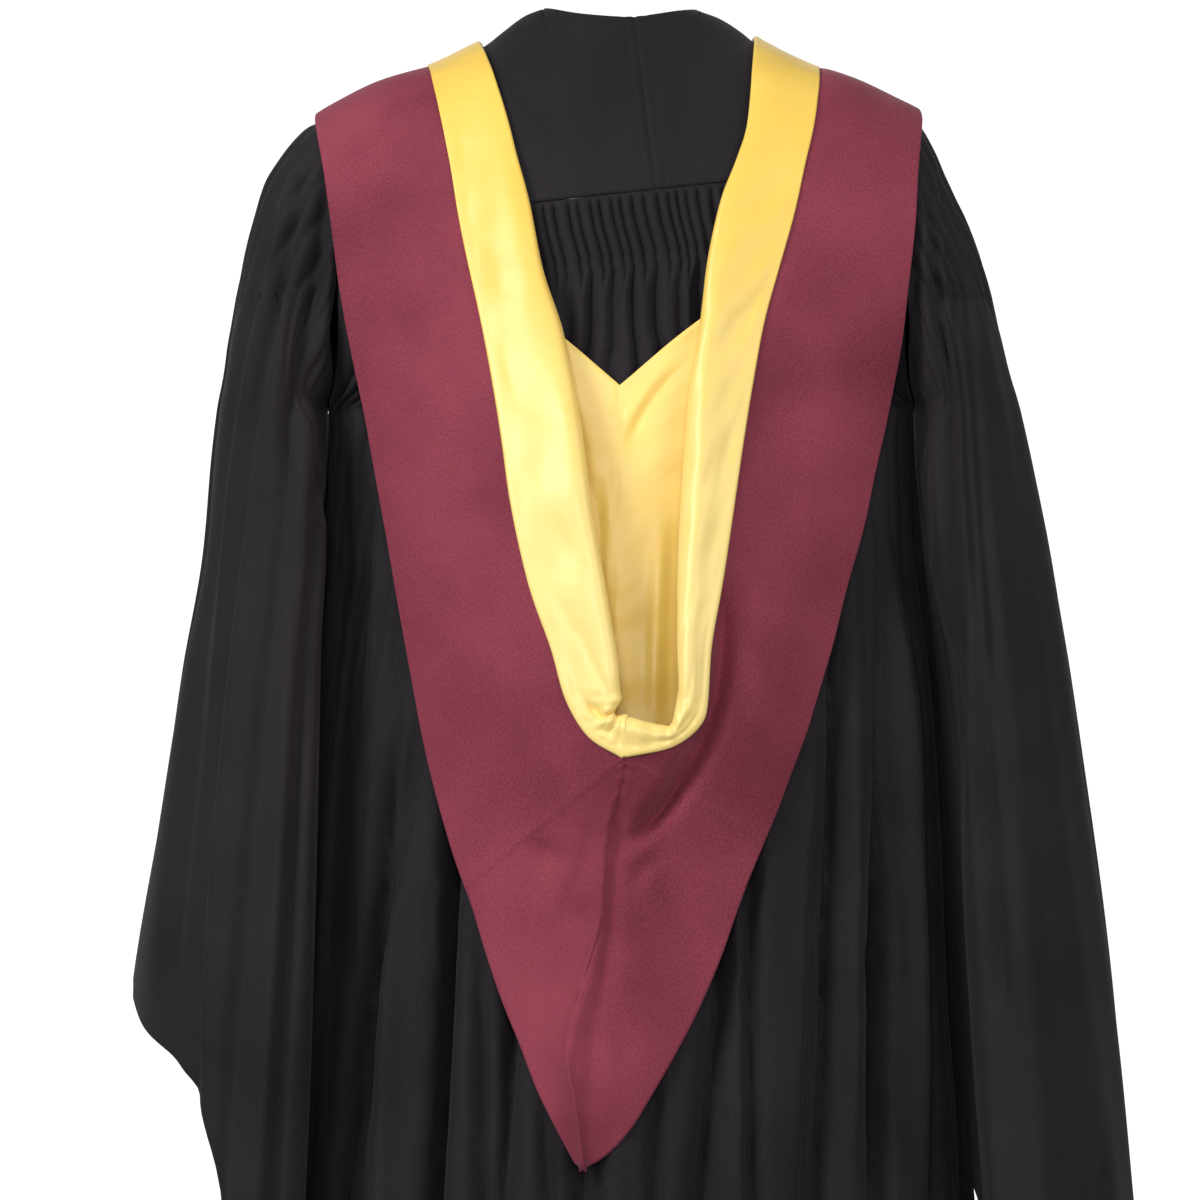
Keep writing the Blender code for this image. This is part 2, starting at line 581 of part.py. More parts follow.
def hood_curve(side, name, rows):
    """The mouth, border or fold curve of one side at row numbers, with its lifts."""
    first, rest = SHOULDER_ROWS[side], HOOD_ROWS[side]
    shoulder = over_shoulder(side * first[name], np.radians(first["tilt"]))
    down = on_back(side * rest[name], rest[f"{name}_z"])
    edge = SHOULDER_FOLD_LIFT if name == "fold" else SHOULDER_LIFT
    lift = np.concatenate([np.full(len(shoulder), edge), rest[f"{name}_lift"]])
    return between_rows(np.concatenate([shoulder, down]), rows), between_rows(lift, rows)


MOUTH_ROWS = np.concatenate([np.arange(0, 4, 0.5), np.arange(4, 17)])


def hood_half(side, columns=8):
    """One half of the maroon outer layer, from the front of the shoulder to the tip."""
    border, border_lift = hood_curve(side, "border", MOUTH_ROWS)
    fold, fold_lift = hood_curve(side, "fold", MOUTH_ROWS)
    name = SIDE[side]
    seam = on_back(SEAM_ROWS["seam"] + side * RIDGE_GAP / 2, SEAM_ROWS["seam_z"])
    edge = on_back(side * SEAM_ROWS[name], SEAM_ROWS[f"{name}_z"])
    inner, outer = np.concatenate([border, seam]), np.concatenate([fold, edge])
    inner_lift = np.concatenate([border_lift, SEAM_ROWS["seam_lift"]])
    outer_lift = np.concatenate([fold_lift, np.full(len(seam), FOLD_LIFT)])
    share = np.linspace(0, 1, columns)[None, :]
    place = mix(inner[:, None], outer[:, None], share[..., None])
    point = reseat(place, mix(inner_lift[:, None], outer_lift[:, None], share ** 0.9))
    return cloth(f"hood_{name}", point, grid_faces(len(inner), columns), HOOD_CLOTH, MAROON, flip=side < 0)


def hood_border(side, columns=5):
    """The satin border of the mouth, turned out and lapped over the outer layer."""
    mouth, mouth_lift = hood_curve(side, "mouth", MOUTH_ROWS)
    border, border_lift = hood_curve(side, "border", MOUTH_ROWS)
    fold, fold_lift = hood_curve(side, "fold", MOUTH_ROWS)
    lap = BORDER_LAP / np.linalg.norm(fold - border, axis=-1)
    lapped, lapped_lift = mix(border, fold, lap[:, None]), mix(border_lift, fold_lift, lap)
    share = np.linspace(0, 1, columns)[None, :]
    strip = mix(mouth[:, None], border[:, None], share[..., None])
    strip_lift = mix(mouth_lift[:, None], border_lift[:, None], share)
    place = np.concatenate([strip, lapped[:, None]], axis=1)
    lift = np.concatenate([strip_lift, lapped_lift[:, None]], axis=1)
    stop = BORDERS_MEET if side > 0 else BORDERS_MEET - 2 * SEAM_GAP
    place[..., 0] = side * np.maximum(side * place[..., 0], side * stop)
    point = reseat(place, lift + BORDER_LIFT)
    faces = grid_faces(len(mouth), columns + 1)
    return cloth(f"hood_border_{SIDE[side]}", point, faces, SATIN_CLOTH, YELLOW, flip=side < 0)


LINING_TOP = Table("reach height", [
    (0.000, -0.289), (0.050, -0.2465), (0.100, -0.212), (0.140, -0.196), (0.220, -0.190),
])
LINING_APEX = 0.0015
LINING_END = -0.858
LINING_INSET = 0.007


def fold_reach(side, height):
    """How far out the hood's outer fold is at a height."""
    rows, name = HOOD_ROWS[side], SIDE[side]
    heights = np.concatenate([rows["fold_z"], SEAM_ROWS[f"{name}_z"]])
    reach = np.concatenate([rows["fold"], SEAM_ROWS[name]])
    return side * curve(heights, reach, height)


def hood_lining(columns=15, rows=10):
    """The under layer against the gown, whose V shows in the mouth."""
    across, down = np.meshgrid(np.linspace(0, 1, columns), np.linspace(0, 1, rows))
    height = np.full(across.shape, -0.4)
    for _ in range(12):
        left, right = fold_reach(1, height) - LINING_INSET, fold_reach(-1, height) + LINING_INSET
        x = mix(right, left, across)
        height = mix(LINING_TOP.at("height", "reach", np.abs(x - LINING_APEX)), LINING_END, down)
    point = lifted(on_back(x, height), np.full(x.shape, LINING_LIFT))
    return cloth("hood_lining", point, grid_faces(rows, columns), SATIN_CLOTH, YELLOW)


NECKBAND_LIFT = 0.0024
NECKBAND = Table("top top_z low low_z", [
    (0.076, -0.086, 0.150, -0.122), (0.048, -0.122, 0.100, -0.172),
    (0.020, -0.150, 0.048, -0.208), (0.000, -0.158, 0.000, -0.222),
])


def neckband(columns=5):
    """The band that joins both sides of the hood across the chest."""
    halves = []
    for side in (1, -1):
        first = SHOULDER_ROWS[side]
        tilt = np.radians(first["tilt"][0] + 0.3)
        start = [over_shoulder(side * first[name][0], tilt) for name in ("mouth", "fold")]
        rest = [ring(z, np.pi - angle_at(z, side * x))
                for x, z in ((NECKBAND["top"], NECKBAND["top_z"]), (NECKBAND["low"], NECKBAND["low_z"]))]
        rows = np.arange(0, len(NECKBAND["top"]) + 0.01, 0.5)
        upper, lower = (between_rows(np.concatenate([a[None], b]), rows) for a, b in zip(start, rest))
        halves.append(mix(upper[:, None], lower[:, None], np.linspace(0, 1, columns)[None, :, None]))
    place = np.concatenate([halves[0], halves[1][-2::-1]])
    point = reseat(place, np.full(place.shape[:2], NECKBAND_LIFT))
    return cloth("hood_neckband", point, grid_faces(len(place), columns), HOOD_CLOTH, MAROON)


SIDES = (1, -1)
for side in SIDES:
    yoke(side)
    front(side)
    sleeve(side)
    hood_half(side)
    hood_border(side)
back()
hood_lining()
neckband()
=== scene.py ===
"""Looks of a graduation gown with its academic hood, seen from behind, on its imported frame.

Metres, +Z up. The back faces +Y, the wearer's left is +X, and the origin is the middle of the
neck opening at the height of the nape. The sheets follow the same draped form as the solids,
with more points, finer folds, rolled edges, seams and stitches.
"""

import math

import bpy
import numpy as np
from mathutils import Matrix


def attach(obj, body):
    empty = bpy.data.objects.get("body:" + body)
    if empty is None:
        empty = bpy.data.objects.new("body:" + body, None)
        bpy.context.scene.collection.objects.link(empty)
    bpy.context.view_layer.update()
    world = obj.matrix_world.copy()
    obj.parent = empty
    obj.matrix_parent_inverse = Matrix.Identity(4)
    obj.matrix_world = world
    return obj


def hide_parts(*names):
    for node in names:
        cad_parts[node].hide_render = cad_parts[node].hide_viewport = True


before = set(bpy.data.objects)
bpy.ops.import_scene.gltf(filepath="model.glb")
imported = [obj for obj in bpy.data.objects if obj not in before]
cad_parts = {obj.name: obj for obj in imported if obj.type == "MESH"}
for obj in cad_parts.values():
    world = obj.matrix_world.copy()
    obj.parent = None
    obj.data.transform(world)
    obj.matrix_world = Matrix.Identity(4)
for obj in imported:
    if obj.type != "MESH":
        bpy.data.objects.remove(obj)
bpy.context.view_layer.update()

SIDE = {1: "left", -1: "right"}
SIDES = (1, -1)
DETAIL = 1.0


class Table:
    """A short table with named columns, read smoothly at any place along one of them."""

    def __init__(self, columns, rows):
        self.columns = dict(zip(columns.split(), np.array(rows, float).T))

    def __getitem__(self, name):
        return self.columns[name]

    def at(self, name, key, where):
        return curve(self[key], self[name], where)

    def rows(self):
        names = list(self.columns)
        return [dict(zip(names, values)) for values in zip(*self.columns.values())]


def curve(knots, values, where):
    """A smooth curve through the values that never overshoots them."""
    order = np.argsort(knots)
    knots, values = knots[order], values[order]
    step = np.diff(knots)
    slope = np.diff(values) / step
    product = slope[:-1] * slope[1:]
    total = np.where(product > 0, slope[:-1] + slope[1:], 1.0)
    middle = np.where(product > 0, 2 * product / total, 0.0)
    tangent = np.concatenate(([slope[0]], middle, [slope[-1]]))
    where = np.clip(where, knots[0], knots[-1])
    i = np.clip(np.searchsorted(knots, where, side="right") - 1, 0, len(step) - 1)
    t = (where - knots[i]) / step[i]
    start = (1 + 2 * t) * (1 - t) ** 2 * values[i] + t * (1 - t) ** 2 * step[i] * tangent[i]
    end = t * t * (3 - 2 * t) * values[i + 1] + t * t * (t - 1) * step[i] * tangent[i + 1]
    return start + end


def ease(value, start, end):
    """0 before start, 1 after end, smooth between."""
    t = np.clip((value - start) / (end - start), 0, 1)
    return t * t * (3 - 2 * t)


def mix(a, b, share):
    return a + (b - a) * share


def hump(distance, width):
    """1 at no distance, and near 0 from twice the width on."""
    return np.exp(-(distance / width) ** 2)


def unit(vector):
    return vector / np.maximum(np.linalg.norm(vector, axis=-1, keepdims=True), 1e-12)


def count(number, least=4):
    return max(least, int(round(number * DETAIL)))


# The sizes that the solids have
HEM = -1.22
YOKE_SEAM = -0.1415
YOKE_SEAM_SLOPE = -0.11
BACK_FLUTES = 52
FLUTE_DEEP = 0.0062
FLUTE_LEAN = 0.046
PAIRED_DEEP = 0.0095
GATHER_DROP = 0.050
SLEEVE_FLUTES = 28
HEAD_DEPTH = 0.004
UNDERARM = -0.300
SHOULDER_TIP = 0.2215
NECK_SIDE = 0.062
NECK_RISE = 0.012
ROUNDNESS = 2.2
CORE_HEIGHT = -0.133
SEAM_GAP = 0.0003
ARMHOLE_GAP = 0.0008
# How the scene's sheets are turned under and sewn
HEM_TURN = 0.012
HEM_STITCHES = 0.032
SEWN_ROUND = 0.0006
CLOTH = 0.0008
SATIN_CLOTH = 0.0007
THREAD = 0.0011

FORM = Table("height half_width back front", [
    (0.030, 0.052, 0.042, 0.040),
    (0.014, 0.060, 0.048, 0.044),
    (0.006, 0.078, 0.056, 0.048),
    (-0.004, 0.093, 0.063, 0.052),
    (-0.018, 0.112, 0.071, 0.058),
    (-0.036, 0.150, 0.081, 0.067),
    (-0.051, 0.190, 0.088, 0.074),
    (-0.064, 0.214, 0.093, 0.080),
    (-0.078, 0.236, 0.098, 0.086),
    (-0.104, 0.262, 0.106, 0.094),
    (-0.150, 0.278, 0.118, 0.105),
    (-0.200, 0.266, 0.126, 0.114),
    (-0.250, 0.244, 0.131, 0.120),
    (-0.300, 0.230, 0.135, 0.125),
    (-0.400, 0.236, 0.143, 0.130),
    (-0.500, 0.248, 0.151, 0.134),
    (-0.600, 0.257, 0.160, 0.140),
    (-0.750, 0.266, 0.174, 0.150),
    (-0.900, 0.276, 0.188, 0.162),
    (-1.050, 0.290, 0.200, 0.175),
    (-1.220, 0.312, 0.214, 0.190),
])
ARMHOLE = Table("height reach", [
    (-0.073, 0.2225), (-0.120, 0.2200), (-0.200, 0.2180),
    (-0.255, 0.2190), (-0.285, 0.2240), (-0.300, 0.2300),
])
OPENING = Table("height reach", [
    (0.000, 0.072), (-0.100, 0.078), (-0.300, 0.070), (-0.600, 0.075), (-1.220, 0.095),
])
BACK_VALLEYS = Table("high low depth width starts", [
    (-0.900, -0.830, 0.012, 0.060, -0.30),
    (-0.740, -0.640, 0.015, 0.036, -0.34),
    (-0.590, -0.420, 0.012, 0.034, -0.42),
    (-0.450, -0.300, 0.014, 0.036, -0.38),
    (-0.240, -0.060, 0.015, 0.040, -0.46),
    (-0.040, 0.100, 0.012, 0.040, -0.50),
    (0.140, 0.220, 0.014, 0.036, -0.44),
    (0.300, 0.345, 0.018, 0.036, -0.40),
    (0.430, 0.600, 0.014, 0.034, -0.50),
    (0.640, 0.690, 0.010, 0.024, -0.36),
    (0.740, 0.780, 0.011, 0.048, -0.32),
])
FRONT_VALLEYS = Table("high low depth width starts", [
    (0.16, 0.12, 0.012, 0.060, -0.16),
    (0.40, 0.34, 0.016, 0.075, -0.12),
    (0.64, 0.58, 0.014, 0.070, -0.22),
    (0.86, 0.82, 0.018, 0.065, -0.26),
])


def ring(height, angle):
    """A point of the form: angle 0 is the centre back, 90 degrees the left side."""
    power = 2 / ROUNDNESS
    half = FORM.at("half_width", "height", height)
    back, front = FORM.at("back", "height", height), FORM.at("front", "height", height)
    depth = np.where(np.cos(angle) > 0, back, front)
    x = half * np.sign(np.sin(angle)) * np.abs(np.sin(angle)) ** power
    y = depth * np.sign(np.cos(angle)) * np.abs(np.cos(angle)) ** power
    return np.stack([x, y, height + 0 * x], -1)


def angle_at(height, x):
    """The angle from the centre back, or from the centre front, at which the form reaches x."""
    share = np.clip(np.abs(x) / FORM.at("half_width", "height", height), 0, 1)
    return np.sign(x) * np.arcsin(share ** (ROUNDNESS / 2))


def size_of(point):
    """1 on the form, less inside it and more outside it."""
    x, y, z = point[..., 0], point[..., 1], point[..., 2]
    depth = np.where(y > 0, FORM.at("back", "height", z), FORM.at("front", "height", z))
    half = FORM.at("half_width", "height", z)
    return (np.abs(x) / half) ** ROUNDNESS + (np.abs(y) / depth) ** ROUNDNESS


def outward(point):
    """The direction straight out of the form at a point."""
    small = 0.002
    slope = [size_of(point + small * axis) - size_of(point - small * axis) for axis in np.eye(3)]
    return unit(np.stack(slope, -1))


def lifted(point, lift):
    return point + outward(point) * np.asarray(lift)[..., None]


def on_back(x, height):
    return ring(height, angle_at(height, x))


def over_shoulder(x, tilt):
    """A point of the form on the section at x: tilt 0 is straight back, 90 degrees is up."""
    x, tilt = np.broadcast_arrays(np.asarray(x, float), np.asarray(tilt, float))
    near, far = np.zeros(x.shape), np.full(x.shape, 0.5)
    for _ in range(30):
        reach = (near + far) / 2
        point = np.stack([x, reach * np.cos(tilt), CORE_HEIGHT + reach * np.sin(tilt)], -1)
        inside = size_of(point) < 1
        near, far = np.where(inside, reach, near), np.where(inside, far, reach)
    return point


def tilt_of(point):
    return np.arctan2(point[..., 2] - CORE_HEIGHT, point[..., 1])


def flute(phase, sharp=0.6):
    """1 in the narrow valley at each whole number, near 0 over the round ridge between."""
    return 1 - np.abs(np.sin(np.pi * phase)) ** sharp


def valleys(table, place, height, high=-0.45, low=-1.10, shrink=1.0):
    """How far the large folds push the cloth in at a place across a panel and a height."""
    total = np.zeros(np.broadcast(place, height).shape)
    down = (high - height) / (high - low)
    for i in range(len(table["depth"])):
        middle = mix(table["high"][i], table["low"][i], np.clip(down, -0.3, 1.2))
        begin = table["starts"][i]
        grown = ease(-height, -begin, -begin + 0.16)
        total = total + table["depth"][i] * grown * hump(place - middle, table["width"][i] * shrink)
    return total


# Unevenness, the same on each run
def wander(along, seed, longest=1.0, waves=4):
    """A smooth uneven line, about -1 to 1."""
    rng = np.random.default_rng(seed)
    total = np.zeros(np.shape(along))
    for k in range(1, waves + 1):
        length = longest / k * rng.uniform(0.8, 1.25)
        total = total + np.sin(2 * np.pi * (along / length + rng.random())) / k
    return total / 1.6


def relief(u, v, seed, length, waves=7):
    """A soft uneven surface, about -1 to 1, of waves near a length that cross at any angle."""
    rng = np.random.default_rng(seed)
    total = np.zeros(np.broadcast(u, v).shape)
    for _ in range(waves):
        turn, size = rng.uniform(0, np.pi), length * rng.uniform(0.6, 1.7)
        total = total + np.sin(2 * np.pi * ((u * np.cos(turn) + v * np.sin(turn)) / size + rng.random()))
    return total / math.sqrt(waves)


def pressed(table, x, height):
    """How far creases push the cloth in. Each has a path as seen from behind, from its top to
    its bottom through a middle point, and a negative depth raises it. Its ends fade out."""
    total = np.zeros(np.broadcast(x, height).shape)
    for row in table.rows():
        down = (row["top"] - height) / (row["top"] - row["bottom"])
        t = np.clip(down, 0, 1)
        bend = 4 * t * (1 - t) * (row["middle"] - (row["from_x"] + row["to_x"]) / 2)
        path = mix(row["from_x"], row["to_x"], t) + bend
        ends = ease(down, -0.02, row["fade"]) * (1 - ease(down, 1 - row["fade"], 1.02))
        total = total + row["depth"] * ends * hump(x - path, row["width"])
    return total


CREASE = "top bottom from_x middle to_x depth width fade"
# Creases of the back
BACK_CREASES = Table(CREASE, [
    (-0.52, -0.90, 0.146, 0.184, 0.199, 0.0096, 0.0060, 0.25),
    (-0.60, -1.22, 0.172, 0.180, 0.190, -0.0080, 0.0100, 0.30),
    (-0.60, -0.98, 0.129, 0.137, 0.148, 0.0080, 0.0050, 0.25),
    (-0.70, -1.22, 0.107, 0.106, 0.104, 0.0096, 0.0060, 0.20),
    (-0.66, -0.72, 0.150, 0.148, 0.147, 0.0035, 0.0040, 0.45),
    (-0.78, -1.22, 0.060, 0.052, 0.044, 0.0080, 0.0070, 0.20),
    (-0.80, -1.22, 0.010, 0.004, -0.004, -0.0048, 0.0120, 0.20),
    (-0.78, -1.22, -0.024, -0.025, -0.030, 0.0088, 0.0060, 0.20),
    (-0.54, -1.22, -0.100, -0.098, -0.106, 0.0096, 0.0055, 0.20),
    (-0.56, -1.22, -0.155, -0.141, -0.137, 0.0080, 0.0050, 0.20),
    (-0.50, -0.90, -0.178, -0.176, -0.172, -0.0064, 0.0080, 0.30),
    (-0.60, -1.22, -0.196, -0.199, -0.210, 0.0096, 0.0060, 0.20),
    (-0.70, -0.76, -0.184, -0.190, -0.196, 0.0040, 0.0050, 0.45),
    (-0.40, -0.95, -0.222, -0.226, -0.232, -0.0064, 0.0080, 0.30),
    (-0.30, -0.60, 0.196, 0.201, 0.205, 0.0064, 0.0060, 0.35),
    (-0.34, -0.70, -0.200, -0.206, -0.214, 0.0064, 0.0060, 0.35),
])
# Creases of each sleeve, on the left as x and on the right as -x
SLEEVE_CREASES = {
    1: Table(CREASE, [
        (-0.105, -1.060, 0.2220, 0.2790, 0.3050, 0.0080, 0.0062, 0.06),
        (-0.125, -1.060, 0.2060, 0.2420, 0.2640, 0.0090, 0.0068, 0.06),
        (-0.100, -0.860, 0.2430, 0.3040, 0.3230, 0.0072, 0.0062, 0.06),
        (-0.110, -0.760, 0.2630, 0.3180, 0.3480, 0.0060, 0.0070, 0.08),
        (-0.430, -1.060, 0.2500, 0.2610, 0.2840, -0.0060, 0.0080, 0.15),
        (-0.110, -0.830, 0.2330, 0.2910, 0.3160, -0.0045, 0.0070, 0.10),
        (-0.115, -0.500, 0.2540, 0.2930, 0.3080, -0.0040, 0.0060, 0.12),
        (-0.130, -0.420, 0.2160, 0.2330, 0.2450, -0.0040, 0.0060, 0.20),
        (-0.240, -0.560, 0.2640, 0.2760, 0.2800, 0.0030, 0.0040, 0.30),
        (-0.470, -0.900, 0.3180, 0.3320, 0.3520, 0.0036, 0.0120, 0.30),
    ]),
    -1: Table(CREASE, [
        (-0.420, -1.060, 0.2700, 0.2730, 0.3000, -0.0085, 0.0075, 0.12),
        (-0.440, -1.060, 0.2560, 0.2590, 0.2860, 0.0085, 0.0065, 0.12),
        (-0.120, -0.540, 0.2220, 0.2270, 0.2330, 0.0080, 0.0060, 0.10),
        (-0.120, -0.520, 0.2390, 0.2500, 0.2560, 0.0075, 0.0055, 0.08),
        (-0.110, -0.760, 0.2510, 0.2680, 0.2870, 0.0070, 0.0055, 0.06),
        (-0.120, -0.520, 0.2610, 0.2740, 0.2840, 0.0055, 0.0050, 0.10),
        (-0.130, -0.460, 0.2310, 0.2385, 0.2450, -0.0045, 0.0060, 0.15),
        (-0.130, -0.460, 0.2450, 0.2580, 0.2650, -0.0040, 0.0050, 0.15),
        (-0.600, -0.980, 0.3200, 0.3330, 0.3500, 0.0045, 0.0120, 0.30),
        (-0.300, -0.800, 0.2960, 0.3120, 0.3260, 0.0026, 0.0100, 0.30),
        (-0.860, -0.930, 0.3700, 0.3640, 0.3560, 0.0026, 0.0050, 0.45),
    ]),
}


def ring_normals(grid):
    """Unit normals of a grid of points whose rows close into rings."""
    along = np.roll(grid, -1, axis=1) - np.roll(grid, 1, axis=1)
    return unit(np.cross(along, np.gradient(grid, axis=0)))


def evened(values, reach):
    """A running mean down the rows, for the same number of rows."""
    padded = np.concatenate([np.repeat(values[:1], reach, 0), values, np.repeat(values[-1:], reach, 0)])
    total = np.cumsum(np.concatenate([np.zeros_like(padded[:1]), padded]), axis=0)
    return (total[2 * reach + 1:] - total[:-2 * reach - 1]) / (2 * reach + 1)


def rolled(grid, inward, radius, sweep, back, steps, even=0):
    """A grid with its last column turned under on a round edge, and back by a length.

    inward is the direction of the turn at each row, and even is how many rows share it.
    """
    radius, back = (np.broadcast_to(size, grid.shape[:1])[:, None] for size in (radius, back))
    edge = grid[:, -1]
    out = unit(edge - grid[:, -2])
    if even > 1:
        out, inward = unit(evened(out, even)), evened(inward, even)
    inward = unit(inward - out * np.sum(inward * out, -1, keepdims=True))
    extra = []
    for turn in np.radians(np.linspace(0, sweep, count(steps) + 1)[1:]):
        extra.append(edge + out * radius * np.sin(turn) + inward * radius * (1 - np.cos(turn)))
    last, end = np.radians(sweep), extra[-1]
    direction = out * np.cos(last) + inward * np.sin(last)
    extra += [end + direction * back * share for share in (0.5, 1.0)]
    return np.concatenate([grid, np.stack(extra, axis=1)], axis=1)


def rolled_below(grid, inward, radius, **turn):
    """A grid with its last row turned under."""
    return rolled(grid.transpose(1, 0, 2), inward, radius, **turn).transpose(1, 0, 2)


def sewn_edge(grid):
    """A grid with its last column turned under beside a seam."""
    return rolled(grid, -outward(grid[:, -1]), SEWN_ROUND, sweep=90, back=0.003, steps=4)


def hemmed(grid):
    return rolled_below(grid, -outward(grid[-1]), 0.0010, sweep=160, back=HEM_TURN, steps=4)


def hem_line(height):
    """How far the stitches of the hem press the cloth in."""
    return 0.0007 * hump(height - HEM - HEM_STITCHES, 0.0014)


def spaced(number, start=0.0, end=1.0, edges=0.0):
    """Evenly spaced numbers that crowd towards both ends as edges grows to 1."""
    t = np.linspace(0, 1, number)
    crowded = 0.5 - 0.5 * np.cos(np.pi * t)
    return start + (end - start) * mix(t, crowded, edges)


def quads(grid):
    """The four corners of each cell of a grid."""
    return np.stack([grid[:-1, :-1], grid[1:, :-1], grid[1:, 1:], grid[:-1, 1:]], 2)


def added(name, mesh, material):
    """An object of a mesh, smooth and with its material."""
    mesh.shade_smooth()
    mesh.materials.append(material)
    piece = bpy.data.objects.new(name, mesh)
    bpy.context.scene.collection.objects.link(piece)
    return piece


def shell(name, grid, material, cloth=CLOTH, closed=False, flip=False):
    """A thin piece of cloth over a grid of points, its outer face."""
    index = np.arange(grid.shape[0] * grid.shape[1]).reshape(grid.shape[:2])
    if closed:
        index = np.concatenate([index, index[:, :1]], axis=1)
    order = -1 if flip else 1
    mesh = bpy.data.meshes.new(f"{name}_cloth")
    mesh.from_pydata(grid.reshape(-1, 3).tolist(), [], quads(index).reshape(-1, 4)[:, ::order].tolist())
    corners = quads(weave_place(grid, closed)).reshape(-1, 4, 2)[:, ::order]
    layer = mesh.uv_layers.new(name="weave")
    layer.data.foreach_set("uv", corners.reshape(-1).astype(np.float32))
    piece = added(f"{name}_cloth", mesh, material)
    wall = piece.modifiers.new("Cloth", "SOLIDIFY")
    wall.thickness = cloth
    wall.offset = -1
    wall.use_rim = True
    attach(piece, "root")
    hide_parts(name)
    return piece


def lengths(line):
    """How far along a line each of its points is."""
    return np.concatenate([[0], np.cumsum(np.linalg.norm(np.diff(line, axis=0), axis=1))])


def weave_place(grid, closed):
    """Weave coordinates in metres of cloth, across and down the grid."""
    middle_row, middle_column = grid[grid.shape[0] // 2], grid[:, grid.shape[1] // 2]
    if closed:
        middle_row = np.concatenate([middle_row, middle_row[:1]])
    return np.stack(np.meshgrid(lengths(middle_row), -lengths(middle_column)), -1)


# Materials
class Shader:
    """A node tree built by short calls."""

    def __init__(self, name):
        self.material = bpy.data.materials.new(name)
        self.material.use_nodes = True
        self.tree = self.material.node_tree

    def feed(self, socket, value):
        if isinstance(value, bpy.types.NodeSocket):
            self.tree.links.new(value, socket)
        else:
            socket.default_value = value

    def node(self, kind, *numbered, settings=(), **named):
        """A node with its inputs fed by number, and then by name."""
        made = self.tree.nodes.new(kind)
        for key, value in settings:
            setattr(made, key, value)
        for key, value in [*enumerate(numbered), *named.items()]:
            self.feed(made.inputs[key], value)
        return made

    def weave(self):
        return self.node("ShaderNodeUVMap", settings=[("uv_map", "weave")]).outputs["UV"]

    def place(self):
        return self.node("ShaderNodeTexCoord").outputs["Object"]

    def split(self, vector):
        return self.node("ShaderNodeSeparateXYZ", vector).outputs

    def math(self, operation, a, b=0.0):
        return self.node("ShaderNodeMath", a, b, settings=[("operation", operation)]).outputs[0]

    def add(self, a, b):
        return self.math("ADD", a, b)

    def times(self, a, b):
        return self.math("MULTIPLY", a, b)

    def scaled(self, vector, x, y, z=1.0):
        made = self.node("ShaderNodeVectorMath", vector, (x, y, z), settings=[("operation", "MULTIPLY")])
        return made.outputs[0]

    def noise(self, vector, scale, detail, roughness):
        made = self.node("ShaderNodeTexNoise", vector, Scale=scale, Detail=detail, Roughness=roughness)
        return made.outputs["Fac"]

    def ramp(self, fac, stops):
        made = self.node("ShaderNodeValToRGB", Fac=fac)
        elements = made.color_ramp.elements
        while len(elements) < len(stops):
            elements.new(0.5)
        for element, (place, colour) in zip(elements, stops):
            element.position = place
            element.color = (*colour, 1)
        return made.outputs["Color"]

    def blended(self, share, first, second):
        """A colour blended to a second one."""
        made = self.node("ShaderNodeMix", settings=[("data_type", "RGBA")])
        for name, value in (("Factor", share), ("A", first), ("B", second)):
            self.feed(next(i for i in made.inputs if i.name == name and i.enabled), value)
        return next(o for o in made.outputs if o.enabled)

    def bump(self, height, strength, distance, **normal):
        made = self.node("ShaderNodeBump", Height=height, Strength=strength, Distance=distance, **normal)
        return made.outputs["Normal"]

    def set(self, **values):
        for name, value in values.items():
            self.feed(self.tree.nodes["Principled BSDF"].inputs[name.replace("_", " ")], value)
        return self.material


def woven(name, dark, light, twill, roughness, sheen, tint, specular):
    """A woven cloth: threads that pass over and under, slubs, fuzz and a slow change of colour."""
    s = Shader(name)
    weave = s.weave()
    turns = 2 * math.pi / THREAD
    u, v = (s.split(weave)[axis] for axis in "XY")
    across, down = (s.math("SINE", s.times(along, turns)) for along in (u, v))
    ribs = s.math("SINE", s.times(s.add(u, s.times(v, twill)), turns / 2))
    slub = s.noise(s.scaled(weave, 260, 1100), 1.0, 3.0, 0.6)
    fuzz = s.noise(s.scaled(weave, 1700, 1900), 1.0, 2.0, 0.7)
    flecks = s.noise(s.scaled(weave, 620, 520), 1.0, 2.0, 0.65)
    threads = s.add(s.times(s.times(across, down), 0.18), s.times(ribs, 0.22))
    height = s.add(threads, s.add(s.times(slub, 1.1), s.times(fuzz, 0.7)))
    slow = s.times(s.noise(s.place(), 9.0, 3.0, 0.5), 0.5)
    grain = s.add(slow, s.add(s.times(s.add(slub, fuzz), 0.25), s.times(flecks, 0.5)))
    return s.set(
        Base_Color=s.ramp(grain, [(0.60, dark), (0.90, light)]),
        Roughness=s.add(s.times(fuzz, 0.12), roughness - 0.06),
        Normal=s.bump(height, 0.5, THREAD * 0.22),
        Sheen_Weight=sheen, Sheen_Roughness=0.45, Sheen_Tint=(*tint, 1), Specular_IOR_Level=specular,
    )


# A painted highlight: the pale colour that the satin's colour is blended towards by height.
PAINTED_SATIN_HIGHLIGHT = (1.0, 0.84, 0.36, 1)


